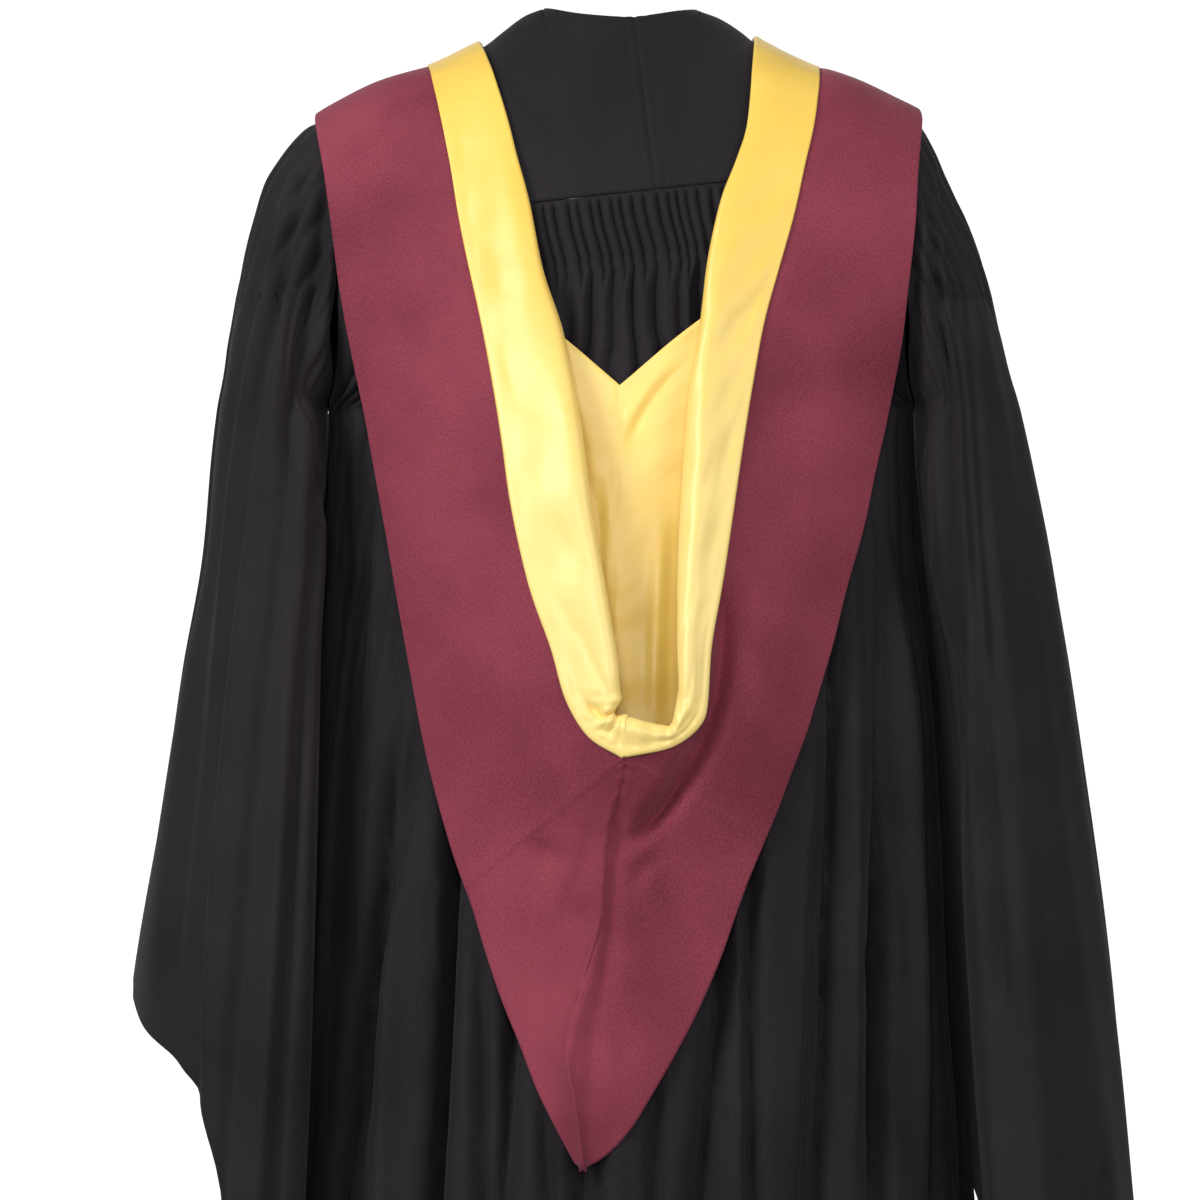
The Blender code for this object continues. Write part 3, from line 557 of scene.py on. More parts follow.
def satin(name, dark, light, sheen):
    """A yellow satin: a smooth face of long floats with fine cross lines, soft waves and a sheen.

    sheen lists heights in metres and how far the colour there is painted paler, a painted highlight.
    """
    s = Shader(name)
    weave, place = s.weave(), s.place()
    floats = s.noise(s.scaled(weave, 240, 2600), 1.0, 3.0, 0.6)
    slow = s.noise(s.scaled(place, 1.0, 1.0, 2.2), 11.0, 3.0, 0.5)
    waves = s.noise(s.scaled(weave, 16, 46), 1.0, 2.0, 0.45)
    dyed = s.ramp(s.add(s.times(slow, 0.55), s.times(floats, 0.45)), [(0.25, dark), (0.80, light)])
    # Painted highlight: the colour is blended paler by height, standing in for the satin's shine.
    up = s.add(s.split(place)["Z"], 1.0)
    painted_highlight_share = s.ramp(up, [(1.0 + height, (share,) * 3) for height, share in sheen])
    return s.set(
        Base_Color=s.blended(painted_highlight_share, dyed, PAINTED_SATIN_HIGHLIGHT),
        Roughness=s.add(s.times(floats, 0.10), 0.36),
        Normal=s.bump(floats, 0.25, 0.00012, Normal=s.bump(waves, 0.35, 0.0030)),
        Sheen_Weight=0.25, Sheen_Roughness=0.35, Sheen_Tint=(1.0, 0.93, 0.70, 1), Specular_IOR_Level=0.55,
    )


def thread_paint(name, colour):
    """Sewing thread, twisted from plies."""
    s = Shader(name)
    ply = s.noise(s.place(), 2400.0, 2.0, 0.5)
    return s.set(
        Base_Color=s.ramp(ply, [(0.3, tuple(0.7 * c for c in colour)), (0.7, colour)]),
        Roughness=s.add(s.times(ply, 0.1), 0.55),
        Specular_IOR_Level=0.3,
    )


WORSTED = woven("worsted", (0.0080, 0.0066, 0.0086), (0.0195, 0.0160, 0.0206), twill=1.0,
                roughness=0.78, sheen=0.06, tint=(0.80, 0.74, 0.82), specular=0.22)
TWILL = woven("maroon_twill", (0.155, 0.020, 0.038), (0.315, 0.052, 0.084), twill=0.7,
              roughness=0.80, sheen=0.16, tint=(1.0, 0.62, 0.68), specular=0.25)
# The border's satin is painted paler lower down, a painted highlight.
SATIN = satin("yellow_satin", (0.90, 0.56, 0.070), (0.99, 0.70, 0.15),
              [(-0.60, 0.45), (-0.50, 0.60), (-0.34, 0.40), (-0.16, 0.02)])
# The lining's satin is painted brighter than the border's, painted light for the shade inside the hood, and
# painted paler higher up, a painted highlight.
LINING_SATIN_PAINTED_LIGHT = satin("lining_satin_painted_light", (0.96, 0.60, 0.075), (1.0, 0.74, 0.17),
                     [(-0.56, 0.0), (-0.50, 0.0), (-0.42, 0.14), (-0.28, 0.26)])
BLACK_THREAD = thread_paint("black_thread", (0.020, 0.018, 0.021))


# The body of the gown
def yoke_seam(x):
    return YOKE_SEAM + YOKE_SEAM_SLOPE * x


YOKE_CENTRE = Table("height reach", [
    (0.010, -0.009), (-0.015, -0.0120), (-0.073, -0.0180), (-0.145, -0.0270),
])


def yoke_top(x):
    """Tilt of the yoke's upper edge: the neckline, then the seam in front of the shoulder."""
    x = np.abs(x)
    height = 0.0005 + NECK_RISE * np.minimum(x / NECK_SIDE, 1) ** 2
    neck = tilt_of(on_back(np.minimum(x, NECK_SIDE), height))
    front = np.radians(mix(103, 112, np.clip((x - NECK_SIDE) / 0.16, 0, 1)))
    return mix(neck, front, ease(x, NECK_SIDE - 0.004, NECK_SIDE + 0.012))


def yoke(side):
    """One half of the yoke, its seams pressed in and its lower edge turned under."""
    across, up = np.meshgrid(spaced(count(96), edges=0.5), spaced(count(64), edges=0.6))
    x = side * (SEAM_GAP / 2 + across * SHOULDER_TIP)
    for _ in range(3):
        low = tilt_of(on_back(x, yoke_seam(x)))
        point = over_shoulder(x, mix(low, yoke_top(x), up))
        edge = ARMHOLE.at("reach", "height", point[..., 2])
        centre = YOKE_CENTRE.at("reach", "height", point[..., 2]) + side * SEAM_GAP / 2
        x = mix(centre, side * edge, across)
    from_centre = np.abs(x - centre)
    above_seam = np.linalg.norm(point - point[:1], axis=-1)
    groove = 0.0011 * hump(from_centre, 0.0016) + 0.0004 * hump(from_centre - 0.008, 0.002)
    bead = 0.0008 * hump(above_seam - 0.004, 0.004) - 0.0016 * hump(above_seam, 0.0012)
    slow = 0.0006 * relief(x, point[..., 2], 11, 0.07)
    grid = lifted(point, bead - groove + slow)[:, ::-1]
    grid = rolled(grid, -outward(grid[:, -1]), 0.0007, sweep=90, back=0.006, steps=4)
    piece = shell(f"yoke_{SIDE[side]}", grid, WORSTED, flip=side > 0)
    return piece


def side_edge(height):
    """The angle of the armhole seam or, under it, of the side seam less its gap."""
    side_seam = np.pi / 2 - SEAM_GAP / FORM.at("half_width", "height", height)
    arm = angle_at(height, ARMHOLE.at("reach", "height", height))
    return np.where(height > UNDERARM, np.minimum(arm, side_seam), side_seam)


def under_arm(height):
    """0 beside the armholes and 1 under them, where the panels meet at the sides."""
    return ease(-height, 0.24, -UNDERARM)


# Columns of points within one flute, close together at its valleys
IN_FLUTE = (0, 0.07, 0.16, 0.30, 0.50, 0.70, 0.84, 0.93)


def sharp_valleys(place, height):
    """The large folds of the back: round ridges with narrow valleys between them."""
    wide = valleys(BACK_VALLEYS, place, height, shrink=0.80)
    return 0.85 * wide + 0.75 * valleys(BACK_VALLEYS, place, height, shrink=0.28)


def back_grid(phase, drops):
    """The back under the yoke: uneven flutes that lean, a gathering row, then folds that open."""
    phase, drop = np.meshgrid(phase, drops)
    ends = 1 - ease(np.abs(phase), BACK_FLUTES / 2 - 3, BACK_FLUTES / 2)
    jitter = 0.24 * wander(phase / 26, 3, 0.30) + 0.10 * wander(drop, 5, 0.05) * ease(drop, 0.01, 0.05)
    place = (phase + ends * jitter) * 2 / BACK_FLUTES
    leaning = FLUTE_LEAN * ease(drop, 0, 0.06) * (1 - ease(drop, 0.1, 0.4))
    moved = place - leaning * (1 - place ** 2)
    height = mix(yoke_seam(moved * SHOULDER_TIP), YOKE_SEAM, ease(drop, 0.05, 0.35)) - drop
    edge = side_edge(height)
    straight = angle_at(height, moved * ring(height, edge)[..., 0])
    point = ring(height, mix(straight, moved * edge, under_arm(height)))
    hold = 1 - ease(np.abs(place), 0.90, 0.97)
    uneven = 1 + 0.25 * wander(np.round(phase) * 0.37, 4, 1.0)
    top = ease(drop, 0.0, 0.008) * (1 - 0.35 * ease(drop, 0.046, 0.056))
    fading = 1 - ease(drop, GATHER_DROP + 0.004, GATHER_DROP + 0.030)
    small = FLUTE_DEEP * uneven * top * fading * flute(phase, 0.55)
    pair = phase / 2 + 0.20 * wander(drop, 6, 0.16) * ease(drop, 0.07, 0.20) + 0.12 * wander(place, 7, 0.5)
    weight = 1 + 0.45 * wander(np.round(pair) * 0.53, 8, 1.0)
    lasting = 1 - 0.85 * ease(drop, 0.14, 0.46)
    paired = PAIRED_DEEP * weight * ease(drop, 0.052, 0.080) * lasting * flute(pair, 0.7)
    stitched = 0.0010 * hump(drop - GATHER_DROP, 0.0025) * (1 - flute(phase, 0.8))
    creases = 1.4 * pressed(BACK_CREASES, point[..., 0], height) * ease(drop, 0.10, 0.25)
    soft = 0.0012 * relief(point[..., 0], 0.25 * height, 21, 0.06) * ease(drop, 0.05, 0.3)
    inward = hold * (small + paired + stitched + sharp_valleys(place, height) + creases + soft)
    return lifted(point, -inward - hem_line(height))


def flute_phases(per_flute):
    half = BACK_FLUTES // 2
    return np.concatenate([np.add.outer(np.arange(-half, half), per_flute).ravel(), [half]])


def back():
    """The back of the gown, its hem turned up inside."""
    drops = np.concatenate([
        spaced(count(26), SEAM_GAP, 0.066, edges=0.2),
        spaced(count(30), 0.069, 0.220),
        spaced(count(44), 0.230, YOKE_SEAM - HEM),
    ])
    grid = hemmed(back_grid(flute_phases(IN_FLUTE if DETAIL == 1 else IN_FLUTE[::2]), drops))
    piece = shell("back", grid, WORSTED, flip=True)
    sewn = stitches("gathering_stitches", gather_row(), BLACK_THREAD)
    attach(sewn, "root")
    return piece


def gather_row():
    """A stitch over each flute at the gathering row, as pairs of end points."""
    drops = np.array([GATHER_DROP - 0.0012, GATHER_DROP, GATHER_DROP + 0.0012])
    row = back_grid(flute_phases((0, 0.38, 0.5, 0.62)), drops)[1]
    ends = []
    for number in range(2, BACK_FLUTES - 2):
        middle = 4 * number + 2
        start, end = row[middle - 1], row[middle + 1]
        out = outward(row[middle]) * 0.0003
        ends.append((start + out, end + out))
    return ends


STITCH_RADIUS = 0.00028
STITCH_SIDES = 6
# How far along a stitch, how thick it is there and how high it lies, in radii
STITCH_STATIONS = ((0.0, 0.35, -0.9), (0.2, 0.9, 0.2), (0.5, 1.0, 0.5), (0.8, 0.9, 0.2), (1.0, 0.35, -0.9))


def stitches(name, ends, material):
    """Short stitches of thread joined into one mesh, each a rounded spindle between its ends."""
    sides, points, faces = range(STITCH_SIDES), [], []
    for start, end in ends:
        along = end - start
        out = outward((start + end) / 2)
        across = np.cross(unit(along), out)
        first = len(points)
        for share, fat, rise in STITCH_STATIONS:
            for k in sides:
                turn = 2 * np.pi * k / STITCH_SIDES
                off = fat * (across * np.cos(turn) + out * np.sin(turn)) + rise * out
                points.append(start + along * share + off * STITCH_RADIUS)
        last = len(points) - STITCH_SIDES
        for base in range(first, last, STITCH_SIDES):
            for k in sides:
                a, b = base + k, base + (k + 1) % STITCH_SIDES
                faces.append((a, b, b + STITCH_SIDES, a + STITCH_SIDES))
        faces.append(tuple(first + k for k in sides)[::-1])
        faces.append(tuple(last + k for k in sides))
    mesh = bpy.data.meshes.new(name)
    mesh.from_pydata([tuple(p) for p in points], [], faces)
    return added(name, mesh, material)


def front(side):
    """One front, its edge turned back in a facing and its hem turned up."""
    columns, upper, lower = count(84), count(34), count(70)
    place = spaced(columns, edges=0.3)
    fall = np.concatenate([spaced(upper, edges=0.2), 1 + spaced(lower)[1:]])
    place, fall = np.meshgrid(place, fall)
    reach = side * mix(OPENING["reach"][0], SHOULDER_TIP, place[0])
    for _ in range(3):
        top = over_shoulder(reach, yoke_top(reach))
        edge = ARMHOLE.at("reach", "height", top[..., 2])
        reach = side * mix(OPENING["reach"][0], edge, place[0])
    seam = top[..., 2] - 2 * SEAM_GAP
    height = mix(seam[None, :], UNDERARM, np.minimum(fall, 1))
    height = mix(height, HEM, np.maximum(fall - 1, 0))
    inner = OPENING.at("reach", "height", height)
    edge = side_edge(height)
    straight = angle_at(height, mix(inner, ring(height, edge)[..., 0], place))
    turned = mix(angle_at(height, inner), edge, place)
    point = ring(height, np.pi - mix(straight, turned, under_arm(height)))
    hold = 1 - ease(place, 0.88, 0.96)
    large = valleys(FRONT_VALLEYS, place, height)
    soft = 0.0016 * relief(point[..., 0], 0.25 * height, 31 + side, 0.055) * ease(-height, 0.10, 0.35)
    grid = lifted(point, -hold * (large + soft) - hem_line(height))[:, ::-1]
    grid = hemmed(rolled(grid, -outward(grid[:, -1]), 0.0014, sweep=165, back=0.030, steps=5))
    grid[..., 0] *= side
    piece = shell(f"front_{SIDE[side]}", grid, WORSTED, flip=side > 0)
    return piece


# The sleeves
OUTLINE = {
    1: Table("height reach", [
        (-0.073, 0.2235), (-0.080, 0.2452), (-0.089, 0.2553), (-0.107, 0.2693), (-0.124, 0.2794),
        (-0.152, 0.2879), (-0.187, 0.2972), (-0.259, 0.3120), (-0.336, 0.3220), (-0.407, 0.3282),
        (-0.501, 0.3445), (-0.614, 0.3608), (-0.757, 0.3826), (-1.060, 0.4150),
    ]),
    -1: Table("height reach", [
        (-0.073, 0.2235), (-0.077, 0.2320), (-0.096, 0.2440), (-0.125, 0.2575), (-0.148, 0.2685),
        (-0.193, 0.2863), (-0.241, 0.2988), (-0.336, 0.3220), (-0.451, 0.3453), (-0.599, 0.3663),
        (-0.763, 0.3872), (-0.917, 0.4020), (-1.060, 0.4160),
    ]),
}
SLEEVE = Table("height depth clear left right front", [
    (-0.073, 0.004, 0.0008, 34, 30, 40), (-0.300, 0.100, 0.0008, 34, 30, 40),
    (-0.350, 0.105, 0.001, 34, 30, 40), (-0.420, 0.112, 0.005, 36, 29, 42),
    (-0.600, 0.130, 0.010, 41, 29, 44), (-0.800, 0.142, 0.011, 44, 31, 44),
    (-1.060, 0.150, 0.012, 45, 34, 44),
])
SLEEVE_EDGE = {
    1: Table("turn height", [
        (-90, -0.660), (-40, -0.700), (0, -0.745), (20, -0.775), (38, -0.805), (50, -0.860), (60, -0.980),
        (75, -1.045), (90, -1.055), (130, -1.030), (180, -0.960), (225, -0.820), (270, -0.660), (320, -0.700),
        (360, -0.745),
    ]),
    -1: Table("turn height", [
        (-90, -0.700), (-40, -0.800), (0, -0.940), (14, -0.980), (30, -1.010), (55, -1.045), (90, -1.055),
        (130, -1.030), (180, -0.970), (225, -0.850), (270, -0.720), (320, -0.800), (360, -0.940),
    ]),
}
SLEEVE_VALLEYS = {
    1: Table("high low depth width starts", [
        (0.020, 0.050, 0.010, 0.018, -0.16), (0.085, 0.125, 0.014, 0.022, -0.13),
        (0.160, 0.190, 0.012, 0.020, -0.15), (0.215, 0.245, 0.016, 0.020, -0.13),
        (0.290, 0.300, 0.012, 0.022, -0.20), (0.700, 0.690, 0.012, 0.026, -0.14),
        (0.780, 0.770, 0.014, 0.024, -0.13), (0.865, 0.860, 0.010, 0.022, -0.18),
        (0.940, 0.950, 0.012, 0.022, -0.14),
    ]),
    -1: Table("high low depth width starts", [
        (0.030, 0.040, 0.008, 0.020, -0.14), (0.090, 0.100, 0.014, 0.020, -0.15),
        (0.150, 0.165, 0.011, 0.020, -0.14), (0.205, 0.215, 0.015, 0.022, -0.16),
        (0.275, 0.290, 0.014, 0.024, -0.20), (0.690, 0.700, 0.012, 0.026, -0.14),
        (0.775, 0.780, 0.012, 0.024, -0.16), (0.850, 0.865, 0.014, 0.022, -0.14),
        (0.935, 0.930, 0.010, 0.022, -0.18),
    ]),
}


ARM_TOP = ARMHOLE["height"][0]
ARM_MIDDLE, ARM_HALF = (ARM_TOP + UNDERARM) / 2, (ARM_TOP - UNDERARM) / 2


def armhole_turn(height):
    """How far round the sleeve, from its outside, the armhole seam is at a height."""
    return np.arccos(np.clip((height - ARM_MIDDLE) / ARM_HALF, -1, 1))


# How far below the nape the sleeve changes from a tube round the arm to cloth that lies beside
# the gown: over its outside, beside the armhole's seam when that begins, and when it ends
OUTSIDE_WRAPS = (0.17, 0.43)
SEAM_BEGINS, SEAM_WRAPS = (0.300, 0.286), (0.400, 0.345)


def sleeve_ring(side, height, turn):
    """A point of the sleeve, as on the left, at a height and a turn within the open tube."""
    outer = OUTLINE[side].at("reach", "height", height)
    clear = SLEEVE.at("clear", "height", height)
    seam_turn = np.maximum(armhole_turn(height), 1e-6)
    share = turn / seam_turn
    arm = ARMHOLE.at("reach", "height", height)
    above = height > UNDERARM
    corner = angle_at(height, arm)
    at_back = np.where(above, ring(height, corner)[..., 1], 0)
    at_front = np.where(above, -ring(height, np.pi - corner)[..., 1], 0)
    half_gap, middle = (at_back + at_front) / 2, (at_back - at_front) / 2
    depth = np.maximum(SLEEVE.at("depth", "height", height), half_gap)
    closing = np.sqrt(np.clip(1 - (half_gap / depth) ** 2, 0, 1))
    inner = np.where(above, arm, FORM.at("half_width", "height", height) + clear)
    centre = (inner + closing * outer) / (1 + closing)
    last = np.pi - np.arcsin(np.clip(half_gap / depth, 0, 1))
    around = share * last
    x = centre + (outer - centre) * np.cos(around)
    y = middle + depth * np.sin(around)
    plain = np.stack([x, y, height + 0 * x], -1)
    reach_back = np.radians(SLEEVE.at(SIDE[side], "height", height))
    reach_front = np.radians(SLEEVE.at("front", "height", height))
    swing = np.where(np.sin(around) > 0, reach_back, reach_front)
    seat = ring(height, np.pi / 2 - swing * np.sin(around))
    half_width = (outer - FORM.at("half_width", "height", height) - clear) / 2
    boxed = np.sign(np.cos(around)) * np.abs(np.cos(around)) ** 0.8
    away = outward(seat)
    away[..., 2] = 0
    wrapped = seat + away * (clear + half_width * (1 + boxed))[..., None]
    at_seam = ease(np.abs(share), 0.55, 0.95)
    early = ease(-height, *OUTSIDE_WRAPS) * (1 - at_seam)
    late = ease(-height, mix(*SEAM_BEGINS, at_seam), mix(*SEAM_WRAPS, at_seam))
    return mix(plain, wrapped, np.maximum(early, late)[..., None])


def sleeve(side):
    """One bell sleeve: a fluted head, soft folds, and its slanted edge turned under."""
    columns = count(SLEEVE_FLUTES * 9)
    turn = np.linspace(-180, 180, columns, endpoint=False)
    share = np.concatenate([spaced(count(30), 0, 0.14), spaced(count(72), 0.15, 1.0)])
    turn, share = np.meshgrid(turn, share)
    start = ARM_MIDDLE + ARM_HALF * np.cos(np.radians(turn))
    lap = np.where(turn < 0, turn + 360, turn)
    height = mix(start, SLEEVE_EDGE[side].at("height", "turn", lap), share)
    point = sleeve_ring(side, height, np.radians(turn))
    point[..., 0] += ARMHOLE_GAP
    normal = ring_normals(point)
    for _ in range(2):
        normal = unit(evened(normal, count(6, 1)))
    free = 1 - ease(np.abs(turn), 115, 150)
    fall = share * 0.8
    phase = lap / 360 * SLEEVE_FLUTES + 0.18 * wander(lap / 360, 41 + side, 0.4)
    phase = phase + 0.12 * wander(fall, 43 + side, 0.60) * ease(share, 0.03, 0.3)
    uneven = 1 + 0.4 * wander(np.round(phase - 0.5) * 0.41, 45 + side, 1.0)
    behind = ease(point[..., 1], 0.0, 0.05)
    lasting = 1 - ease(share, 0.06, mix(0.45, 0.17, behind))
    head = HEAD_DEPTH * uneven * ease(share, 0.0, 0.03) * lasting * flute(phase, 0.85)
    large = valleys(SLEEVE_VALLEYS[side], lap / 360, height) * (1 - 0.92 * behind)
    creases = pressed(SLEEVE_CREASES[side], point[..., 0], height) * behind
    soft = 0.0014 * relief(lap / 360 * 0.7, 0.10 * height, 47 + side, 0.05) * ease(share, 0.08, 0.3)
    point = point + normal * (free * (head + large + creases + soft))[..., None]
    point = rolled_below(point, normal[-1], 0.0010, sweep=165, back=0.014, steps=4)
    point[..., 0] *= side
    piece = shell(f"sleeve_{SIDE[side]}", point, WORSTED, closed=True, flip=side < 0)
    return piece


# The hood
SHOULDER_ROWS = {
    1: Table("tilt mouth border fold", [
        (128, 0.098, 0.134, 0.196), (104, 0.106, 0.145, 0.226),
        (80, 0.109, 0.147, 0.233), (56, 0.102, 0.143, 0.232),
    ]),
    -1: Table("tilt mouth border fold", [
        (128, 0.092, 0.134, 0.190), (104, 0.100, 0.150, 0.218),
        (80, 0.103, 0.150, 0.228), (56, 0.101, 0.149, 0.228),
    ]),
}
HOOD_ROWS = {
    1: Table("mouth mouth_z border border_z fold fold_z mouth_lift border_lift", [
        (0.0869, -0.085, 0.1340, -0.085, 0.2262, -0.110, 0.004, 0.004),
        (0.0795, -0.114, 0.1268, -0.120, 0.2195, -0.155, 0.005, 0.005),
        (0.0695, -0.150, 0.1202, -0.159, 0.2114, -0.209, 0.007, 0.006),
        (0.0592, -0.200, 0.1126, -0.194, 0.1998, -0.269, 0.012, 0.009),
        (0.0430, -0.250, 0.1029, -0.232, 0.1900, -0.315, 0.020, 0.014),
        (0.0325, -0.300, 0.0904, -0.285, 0.1800, -0.370, 0.032, 0.024),
        (0.0250, -0.345, 0.0814, -0.333, 0.1711, -0.421, 0.042, 0.034),
        (0.0185, -0.395, 0.0746, -0.378, 0.1610, -0.480, 0.050, 0.042),
        (0.0100, -0.450, 0.0609, -0.443, 0.1500, -0.540, 0.054, 0.048),
        (0.0040, -0.495, 0.0460, -0.490, 0.1400, -0.583, 0.055, 0.051),
        (0.0020, -0.526, 0.0360, -0.528, 0.1310, -0.618, 0.056, 0.053),
        (0.0060, -0.5385, 0.0200, -0.5560, 0.1230, -0.645, 0.056, 0.053),
        (-0.0010, -0.5370, -0.0010, -0.5700, 0.1160, -0.664, 0.054, 0.052),
    ]),
    -1: Table("mouth mouth_z border border_z fold fold_z mouth_lift border_lift", [
        (0.0960, -0.088, 0.1440, -0.085, 0.2240, -0.115, 0.004, 0.004),
        (0.0875, -0.116, 0.1363, -0.118, 0.2210, -0.160, 0.005, 0.005),
        (0.0750, -0.148, 0.1278, -0.155, 0.2160, -0.205, 0.007, 0.006),
        (0.0625, -0.201, 0.1152, -0.198, 0.2105, -0.247, 0.012, 0.008),
        (0.0555, -0.243, 0.1031, -0.238, 0.1988, -0.307, 0.018, 0.012),
        (0.0450, -0.300, 0.0933, -0.282, 0.1857, -0.368, 0.026, 0.018),
        (0.0400, -0.345, 0.0842, -0.330, 0.1740, -0.415, 0.034, 0.026),
        (0.0355, -0.395, 0.0743, -0.391, 0.1600, -0.468, 0.042, 0.035),
        (0.0330, -0.440, 0.0665, -0.440, 0.1480, -0.510, 0.048, 0.042),
        (0.0325, -0.480, 0.0580, -0.490, 0.1360, -0.550, 0.052, 0.048),
        (0.0340, -0.524, 0.0540, -0.5385, 0.1250, -0.580, 0.054, 0.051),
        (0.0325, -0.549, 0.0300, -0.5635, 0.1147, -0.608, 0.055, 0.052),
        (0.0010, -0.5370, 0.0010, -0.5700, 0.1050, -0.630, 0.054, 0.052),
    ]),
}
SEAM_ROWS = Table("seam seam_z left left_z right right_z seam_lift", [
    (-0.0022, -0.576, 0.1130, -0.672, 0.1010, -0.640, 0.049),
    (0.0000, -0.591, 0.1080, -0.686, 0.0921, -0.661, 0.042),
    (0.0074, -0.613, 0.1000, -0.712, 0.0815, -0.690, 0.034),
    (0.0118, -0.640, 0.0874, -0.750, 0.0733, -0.713, 0.027),
    (0.0145, -0.685, 0.0740, -0.783, 0.0545, -0.757, 0.024),
    (0.0237, -0.721, 0.0611, -0.816, 0.0410, -0.783, 0.023),
    (0.0348, -0.756, 0.0505, -0.838, 0.0220, -0.816, 0.020),
    (0.0400, -0.790, 0.0455, -0.848, 0.0060, -0.842, 0.018),
    (0.0345, -0.822, 0.0390, -0.860, -0.0080, -0.858, 0.015),
    (0.0285, -0.8745, 0.0330, -0.871, -0.0240, -0.871, 0.009),
])
FOLD_LIFTS = [0.008, 0.007] + [0.0075] * 11
SEAM_FOLD_LIFT = 0.006
SHOULDER_LIFT = 0.003
SHOULDER_FOLD_LIFT = 0.009
BORDER_LAP = 0.003
BORDER_LIFT = 0.0017
BORDERS_MEET = -0.001
UNDER_ROLL = 0.0018         # what stays free under the mouth's rolled edge
ROLL_RADII = (0.0005, 0.0075)
LINING_LIFT = 0.0034
LINING_LEAST_LIFT = 0.0016
MOUTH_END = 16              # the row number of the mouth's lowest point


def reseat(place, lift):
    """Points near the form moved onto it, over the shoulder or at their own height, then lifted."""
    x, y, z = place[..., 0], place[..., 1], place[..., 2]
    over = over_shoulder(x, tilt_of(place))
    level = on_back(x, np.minimum(z, -0.065))
    share = np.where(y > 0, ease(-z, 0.075, 0.105), 0)
    return lifted(mix(over, level, share[..., None]), lift)


def between_rows(values, rows):
    """Key rows read smoothly at any row number."""
    keys = np.arange(len(values), dtype=float)
    if values.ndim == 1:
        return curve(keys, values, rows)
    return np.stack([curve(keys, values[:, axis], rows) for axis in range(values.shape[1])], -1)


def hood_keys(side, name):
    """The key points of the mouth, border or fold curve of one side, and their lifts."""
    first, rest = SHOULDER_ROWS[side], HOOD_ROWS[side]
    shoulder = over_shoulder(side * first[name], np.radians(first["tilt"]))
    down = on_back(side * rest[name], rest[f"{name}_z"])
    if name == "fold":
        lifts = [SHOULDER_FOLD_LIFT] * len(shoulder) + FOLD_LIFTS
    else:
        lifts = [SHOULDER_LIFT] * len(shoulder) + list(rest[f"{name}_lift"])
    return np.concatenate([shoulder, down]), np.array(lifts)


# Soft hollows and ridges of the outer layer
HOOD_CREASES = {
    1: Table(CREASE, [
        (-0.560, -0.690, 0.052, 0.056, 0.062, 0.0050, 0.0130, 0.40),
        (-0.470, -0.620, 0.088, 0.082, 0.070, 0.0022, 0.0120, 0.40),
        (-0.600, -0.700, 0.018, 0.030, 0.050, 0.0030, 0.0080, 0.35),
        (-0.250, -0.520, 0.150, 0.130, 0.112, -0.0014, 0.0200, 0.35),
        (-0.700, -0.840, 0.046, 0.052, 0.050, 0.0022, 0.0080, 0.35),
        (-0.625, -0.655, 0.062, 0.053, 0.044, 0.0040, 0.0120, 0.45),
        (-0.670, -0.700, 0.026, 0.032, 0.040, 0.0035, 0.0100, 0.45),
    ]),
    -1: Table(CREASE, [
        (-0.430, -0.640, -0.069, -0.066, -0.002, 0.0205, 0.0100, 0.20),
        (-0.420, -0.560, -0.094, -0.090, -0.082, 0.0040, 0.0100, 0.35),
        (-0.590, -0.760, 0.002, 0.008, 0.016, 0.0060, 0.0065, 0.20),
        (-0.730, -0.845, 0.018, 0.022, 0.022, 0.0045, 0.0090, 0.30),
        (-0.600, -0.720, -0.020, -0.034, -0.060, 0.0042, 0.0100, 0.35),
        (-0.635, -0.670, -0.022, -0.014, -0.006, 0.0040, 0.0090, 0.45),
        (-0.240, -0.520, -0.160, -0.142, -0.122, -0.0014, 0.0200, 0.35),
        (-0.720, -0.830, 0.014, 0.006, -0.006, 0.0022, 0.0090, 0.35),
    ]),
}


def hood_half(side):
    """One half of the outer layer: a round outer fold, a centre seam, soft hollows."""
    name = SIDE[side]
    border, border_lift = hood_keys(side, "border")
    fold, fold_lift = hood_keys(side, "fold")
    seam = on_back(SEAM_ROWS["seam"] + side * SEAM_GAP / 3, SEAM_ROWS["seam_z"])
    edge = on_back(side * SEAM_ROWS[name], SEAM_ROWS[f"{name}_z"])
    rows = np.linspace(0, len(border) + len(seam) - 1, count(168))
    inner = between_rows(np.concatenate([border, seam]), rows)
    outer = between_rows(np.concatenate([fold, edge]), rows)
    inner_lift = between_rows(np.concatenate([border_lift, SEAM_ROWS["seam_lift"]]), rows)
    outer_lift = between_rows(np.concatenate([fold_lift, np.full(len(seam), SEAM_FOLD_LIFT)]), rows)
    share = spaced(count(74), edges=0.6)[None, :]
    place = mix(inner[:, None], outer[:, None], share[..., None])
    lift = mix(inner_lift[:, None], outer_lift[:, None], share ** 0.9)
    point = reseat(place, lift)
    from_seam = np.linalg.norm(point - point[:, :1], axis=-1)
    seamed = ease(rows, MOUTH_END, MOUTH_END + 1)[:, None]
    low = ease(-point[:, :1, 2], 0.775, 0.80)
    groove = 0.0013 * hump(from_seam, 0.0016) * (1 - low) - 0.0004 * hump(from_seam - 0.006, 0.003)
    ridge = 0.0022 * hump(from_seam, 0.0045) * low
    pucker = 0.0005 * np.sin(9 * rows[:, None]) * hump(from_seam, 0.010) * seamed
    slow = 0.0010 * relief(point[..., 0], point[..., 2], 61 + side, 0.10) * ease(share, 0.0, 0.15)
    creases = pressed(HOOD_CREASES[side], point[..., 0], point[..., 2])
    point = point + outward(point) * ((ridge - groove) * seamed + pucker + slow - creases)[..., None]
    grid = rolled(point, -outward(point[:, -1]), 0.0017, sweep=150, back=0.004, steps=6)
    grid = sewn_edge(grid[:, ::-1])[:, ::-1]
    piece = shell(f"hood_{name}", grid, TWILL, flip=side < 0)
    return piece


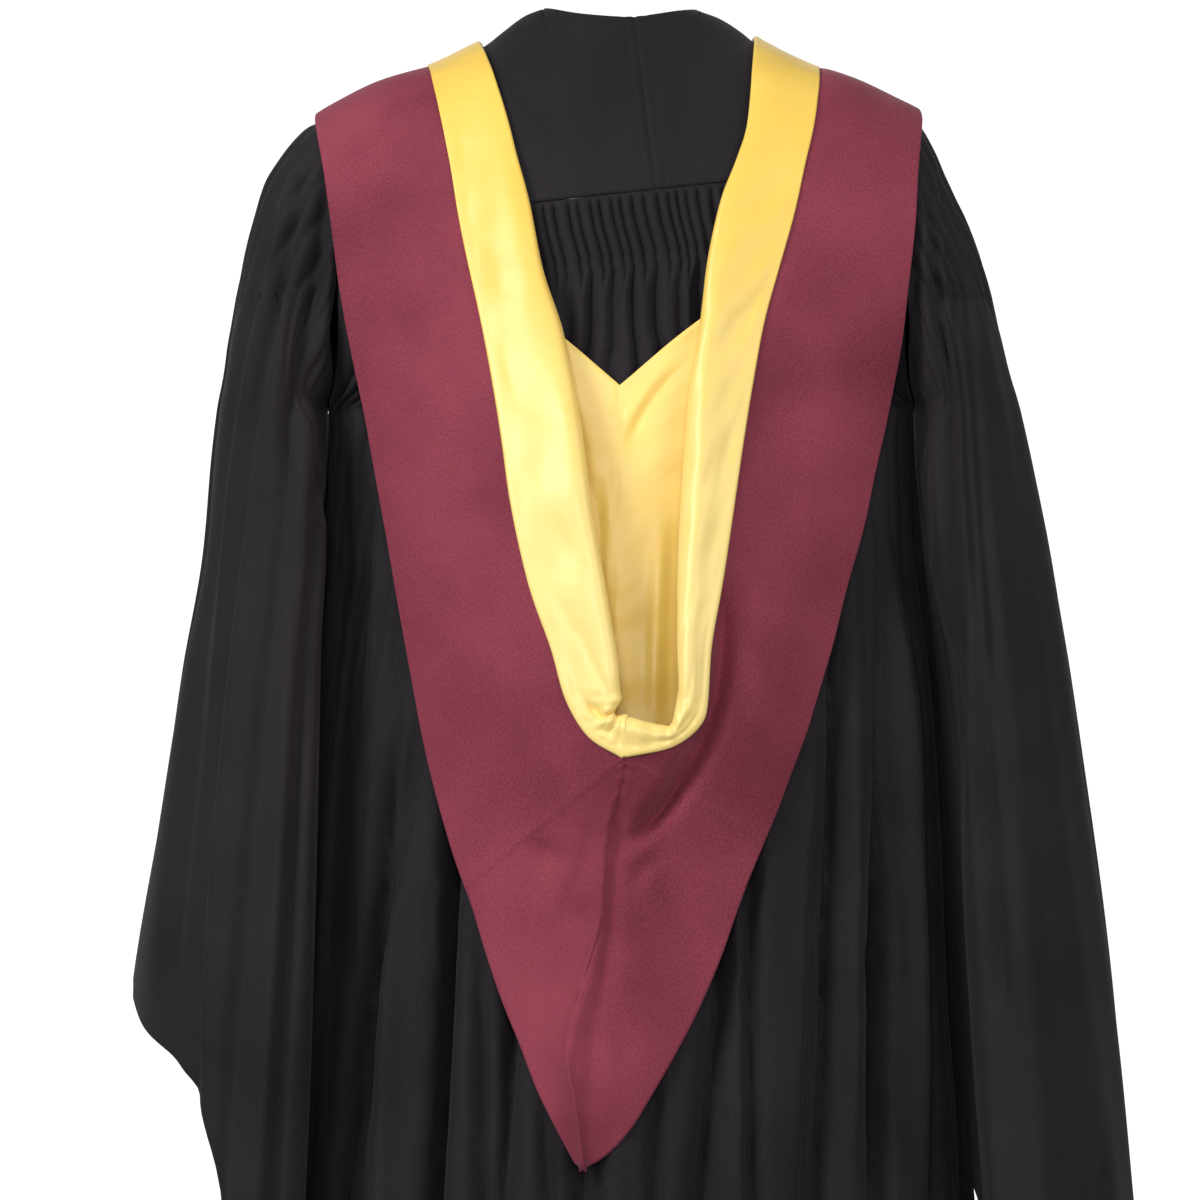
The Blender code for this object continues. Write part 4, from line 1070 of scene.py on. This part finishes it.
# Where the border is highest between its mouth and its outer edge, and how far its inner edge
# sinks under that, by row
BORDER_RISE = {
    1: Table("row ridge rise sink", [
        (0, 0.30, 0.0004, 0.0), (5, 0.25, 0.0010, 0.0005), (8, 0.22, 0.0030, 0.0010),
        (11, 0.20, 0.0045, 0.0020), (14, 0.25, 0.0040, 0.0010), (16, 0.45, 0.0040, 0.0020),
    ]),
    -1: Table("row ridge rise sink", [
        (0, 0.30, 0.0004, 0.0), (5, 0.25, 0.0010, 0.0005), (8, 0.25, 0.0030, 0.0040),
        (11, 0.42, 0.0045, 0.0120), (14, 0.45, 0.0045, 0.0090), (16, 0.45, 0.0040, 0.0020),
    ]),
}
# Short creases of each border: its rows, and where it starts and ends across from the mouth
BORDER_CREASES = {
    1: Table("row to_row share to_share depth width", [
        (15.3, 14.2, 0.02, 0.75, 0.0060, 0.07), (15.7, 15.2, 0.05, 0.80, 0.0028, 0.08),
        (14.2, 13.0, 0.10, 0.55, 0.0016, 0.10), (12.0, 11.3, 0.05, 0.60, 0.0012, 0.12),
        (9.6, 8.9, 0.20, 0.90, 0.0010, 0.14), (7.4, 7.1, 0.10, 0.80, 0.0008, 0.16),
        (13.2, 12.2, 0.30, 0.80, 0.0010, 0.12),
    ]),
    -1: Table("row to_row share to_share depth width", [
        (15.6, 15.1, 0.02, 0.80, 0.0022, 0.10), (15.2, 14.4, 0.02, 0.70, 0.0022, 0.10),
        (14.7, 13.7, 0.02, 0.60, 0.0018, 0.10), (13.6, 12.4, 0.05, 0.50, 0.0014, 0.10),
        (11.2, 10.3, 0.10, 0.60, 0.0010, 0.12), (8.6, 8.2, 0.10, 0.90, 0.0010, 0.15),
        (6.6, 6.2, 0.10, 0.80, 0.0008, 0.16),
    ]),
}


def short_creases(table, rows, share):
    """Creases that run across the border between two places on it."""
    total = np.zeros(np.broadcast(rows, share).shape)
    for row in table.rows():
        along = np.clip((share - row["share"]) / (row["to_share"] - row["share"]), 0, 1)
        path = mix(row["row"], row["to_row"], along)
        inside = ease(share, row["share"] - 0.08, row["share"] + 0.15)
        inside = inside * (1 - ease(share, row["to_share"] - 0.15, row["to_share"] + 0.08))
        total = total + row["depth"] * inside * hump(rows - path, 3 * row["width"])
    return total


def hood_border(side):
    """The satin border: rolled in at the mouth, lapped over the outer layer, gathered below."""
    rows = np.linspace(0, MOUTH_END, count(176))
    (mouth, mouth_lift), (border, border_lift), (fold, fold_lift) = (
        tuple(between_rows(keys, rows) for keys in hood_keys(side, curve_name))
        for curve_name in ("mouth", "border", "fold")
    )
    lap = BORDER_LAP / np.linalg.norm(fold - border, axis=-1)
    outer, outer_lift = mix(border, fold, lap[:, None]), mix(border_lift, fold_lift, lap)
    room = np.clip(0.42 * (mouth_lift + BORDER_LIFT - UNDER_ROLL), *ROLL_RADII)
    inset = room / np.linalg.norm(border - mouth, axis=-1)
    share = spaced(count(40), edges=0.5)[None, :]
    share = inset[:, None] + (1 - inset[:, None]) * share
    place = mix(mouth[:, None], border[:, None], share[..., None])
    lift = mix(mouth_lift[:, None], border_lift[:, None], share)
    place = np.concatenate([place, mix(border, outer, 0.5)[:, None], outer[:, None]], axis=1)
    lift = np.concatenate([lift, mix(border_lift, outer_lift, 0.5)[:, None], outer_lift[:, None]], axis=1)
    share = np.concatenate([share, np.full((len(rows), 2), 1.05)], axis=1)
    place[..., 0] = side * np.maximum(side * place[..., 0], side * BORDERS_MEET)
    by_row = rows[:, None]
    ridge = BORDER_RISE[side].at("ridge", "row", by_row)
    rise = BORDER_RISE[side].at("rise", "row", by_row) * hump(share - ridge, 0.30)
    sink = BORDER_RISE[side].at("sink", "row", by_row) * (1 - ease(share / ridge, 0.0, 1.0))
    crumple = short_creases(BORDER_CREASES[side], by_row, share)
    waves = 0.0007 * relief(by_row * 0.030, share * 0.055, 71 + side, 0.045) * ease(by_row, 3, 7)
    gathers = 0.0026 * flute(by_row * 2.7 + 0.5 * share, 1.0) * ease(by_row, 13.2, 15.0) * (1 - 0.6 * share)
    held = 1 - ease(share, 0.80, 0.98)
    point = reseat(place, lift + BORDER_LIFT + rise - sink + held * (waves - crumple - gathers))
    into = -outward(point[:, 0])
    grid = rolled(point[:, ::-1], into, room, sweep=170, back=0.9 * room, steps=10, even=count(7))
    grid = sewn_edge(grid.transpose(1, 0, 2)).transpose(1, 0, 2)
    piece = shell(f"hood_border_{SIDE[side]}", grid, SATIN, SATIN_CLOTH, flip=side > 0)
    return piece


LINING_TOP = Table("reach height", [
    (0.000, -0.289), (0.050, -0.2465), (0.100, -0.212), (0.140, -0.196), (0.220, -0.190),
])
LINING_APEX = 0.0015
LINING_END = -0.858
LINING_INSET = 0.007
LINING_CREASES = Table(CREASE, [
    (-0.270, -0.340, -0.050, -0.020, -0.004, 0.0030, 0.0030, 0.30),
    (-0.262, -0.335, -0.044, -0.014, 0.002, -0.0022, 0.0040, 0.30),
    (-0.300, -0.420, 0.036, 0.026, 0.012, 0.0020, 0.0050, 0.35),
    (-0.380, -0.560, -0.030, -0.026, -0.024, -0.0030, 0.0060, 0.30),
    (-0.340, -0.560, 0.018, 0.016, 0.014, 0.0025, 0.0050, 0.30),
])


def fold_reach(side, height):
    """How far out the hood's outer fold is at a height."""
    rows, name = HOOD_ROWS[side], SIDE[side]
    heights = np.concatenate([rows["fold_z"], SEAM_ROWS[f"{name}_z"]])
    reach = np.concatenate([rows["fold"], SEAM_ROWS[name]])
    return side * curve(heights, reach, height)


def hood_lining():
    """The under layer against the gown, with its centre seam, and the V of its upper edge."""
    across, down = np.meshgrid(spaced(count(120), edges=0.1), spaced(count(110), edges=0.2))
    height = np.full(across.shape, -0.4)
    for _ in range(12):
        left, right = fold_reach(1, height) - LINING_INSET, fold_reach(-1, height) + LINING_INSET
        x = mix(right, left, across)
        height = mix(LINING_TOP.at("height", "reach", np.abs(x - LINING_APEX)), LINING_END, down)
    seam = LINING_APEX + 0.006 * ease(-height, 0.29, 0.42)
    groove = 0.0011 * hump(x - seam, 0.0013) - 0.0003 * hump(x - seam, 0.005)
    bead = 0.0007 * hump(down, 0.005)
    belly = 0.0040 * ease(down, 0.05, 0.25) * (1 - ease(down, 0.35, 0.6)) * hump(x, 0.05)
    soft = 0.0008 * relief(x, height, 81, 0.06) * ease(down, 0.03, 0.15) * (1 - ease(down, 0.6, 0.8))
    lift = LINING_LIFT + bead + belly + soft - groove - pressed(LINING_CREASES, x, height)
    point = lifted(on_back(x, height), np.maximum(lift, LINING_LEAST_LIFT))
    # Its satin is painted brighter than the border's, painted light for the shade inside the hood.
    piece = shell("hood_lining", point, LINING_SATIN_PAINTED_LIGHT, SATIN_CLOTH)
    return piece


NECKBAND_LIFT = 0.0024
NECKBAND_TILT_GAP = 0.3     # degrees over the shoulder between the hood and the band
NECKBAND = Table("top top_z low low_z", [
    (0.076, -0.086, 0.150, -0.122), (0.048, -0.122, 0.100, -0.172),
    (0.020, -0.150, 0.048, -0.208), (0.000, -0.158, 0.000, -0.222),
])


def neckband():
    """The band that joins both sides of the hood across the chest, its edges turned under."""
    halves = []
    for side in SIDES:
        first = SHOULDER_ROWS[side]
        tilt = np.radians(first["tilt"][0] + NECKBAND_TILT_GAP)
        start = [over_shoulder(side * first[name][0], tilt) for name in ("mouth", "fold")]
        rest = [ring(z, np.pi - angle_at(z, side * x))
                for x, z in ((NECKBAND["top"], NECKBAND["top_z"]), (NECKBAND["low"], NECKBAND["low_z"]))]
        rows = np.linspace(0, len(NECKBAND["top"]), count(50))
        upper, lower = (between_rows(np.concatenate([a[None], b]), rows) for a, b in zip(start, rest))
        halves.append(mix(upper[:, None], lower[:, None], spaced(count(26), edges=0.5)[None, :, None]))
    place = np.concatenate([halves[0], halves[1][-2::-1]])
    slow = 0.0004 * relief(place[..., 0], place[..., 2], 91, 0.05)
    point = reseat(place, NECKBAND_LIFT + slow)
    edges = ease(spaced(count(26), edges=0.5), 0.0, 0.02)[None, :, None]
    point = mix(reseat(place, NECKBAND_LIFT - CLOTH), point, edges)
    piece = shell("hood_neckband", point, TWILL)
    return piece


# The studio
VIEW = (0.0165, 3.36, -0.451)
SENSOR, LENS = 36, 128
BACKDROP, AMBIENT = 1.10, 0.22
FLOOR = -1.48
FLOOR_REACH = 3.0
# Each softbox: its name, place, target, size in metres and power in watts
SOFTBOXES = (
    ("key", (1.9, 1.8, 0.9), (0, 0.1, -0.25), 1.2, 56),
    ("fill", (-2.0, 1.9, 0.4), (0, 0.1, -0.3), 1.3, 22),
    ("front", (0.1, 3.0, 0.2), (0, 0.1, -0.30), 0.8, 27),
)


def camera():
    """Level behind the wearer, 3.2 m from the middle of the back, with a frame 0.90 m wide there."""
    lens = bpy.data.cameras.new("camera")
    lens.sensor_width, lens.lens = SENSOR, LENS
    placed = bpy.data.objects.new("camera", lens)
    placed.location = VIEW
    placed.rotation_euler = (math.radians(90), 0, math.radians(180))
    bpy.context.scene.collection.objects.link(placed)
    bpy.context.scene.camera = placed


def softbox(name, place, target, size, power):
    light = bpy.data.lights.new(name, "AREA")
    light.shape = "SQUARE"
    light.size = size
    light.energy = power
    placed = bpy.data.objects.new(name, light)
    bpy.context.scene.collection.objects.link(placed)
    x, y, z = np.array(target, float) - np.array(place, float)
    placed.location = place
    tip = math.pi / 2 + math.atan2(z, math.hypot(x, y))
    placed.rotation_euler = (tip, 0, math.atan2(y, x) - math.pi / 2)


def studio():
    """A grey floor, a bright white backdrop far behind the gown, and soft light."""
    scene = bpy.context.scene
    scene.view_settings.view_transform = "Standard"
    world = bpy.data.worlds.new("studio")
    scene.world = world
    world.use_nodes = True
    tree = world.node_tree
    back_light = tree.nodes["Background"]
    place = tree.nodes.new("ShaderNodeTexCoord")
    split = tree.nodes.new("ShaderNodeSeparateXYZ")
    ramp = tree.nodes.new("ShaderNodeMapRange")
    tree.links.new(place.outputs["Generated"], split.inputs[0])
    tree.links.new(split.outputs["Y"], ramp.inputs["Value"])
    ends = {"From Min": -0.96, "From Max": -0.72, "To Min": BACKDROP, "To Max": AMBIENT}
    for name, value in ends.items():
        ramp.inputs[name].default_value = value
    tree.links.new(ramp.outputs["Result"], back_light.inputs["Strength"])
    back_light.inputs["Color"].default_value = (1, 1, 1, 1)
    mesh = bpy.data.meshes.new("floor")
    corners = [(x * FLOOR_REACH, y * FLOOR_REACH, FLOOR) for x, y in ((-1, -1), (1, -1), (1, 1), (-1, 1))]
    mesh.from_pydata(corners, [], [(0, 1, 2, 3)])
    grey = Shader("grey_floor").set(Base_Color=(0.30, 0.30, 0.30, 1), Roughness=0.9)
    added("floor", mesh, grey)
    for light in SOFTBOXES:
        softbox(*light)


camera()
for side in SIDES:
    yoke(side)
    front(side)
    sleeve(side)
    hood_half(side)
    hood_border(side)
back()
hood_lining()
neckband()
studio()
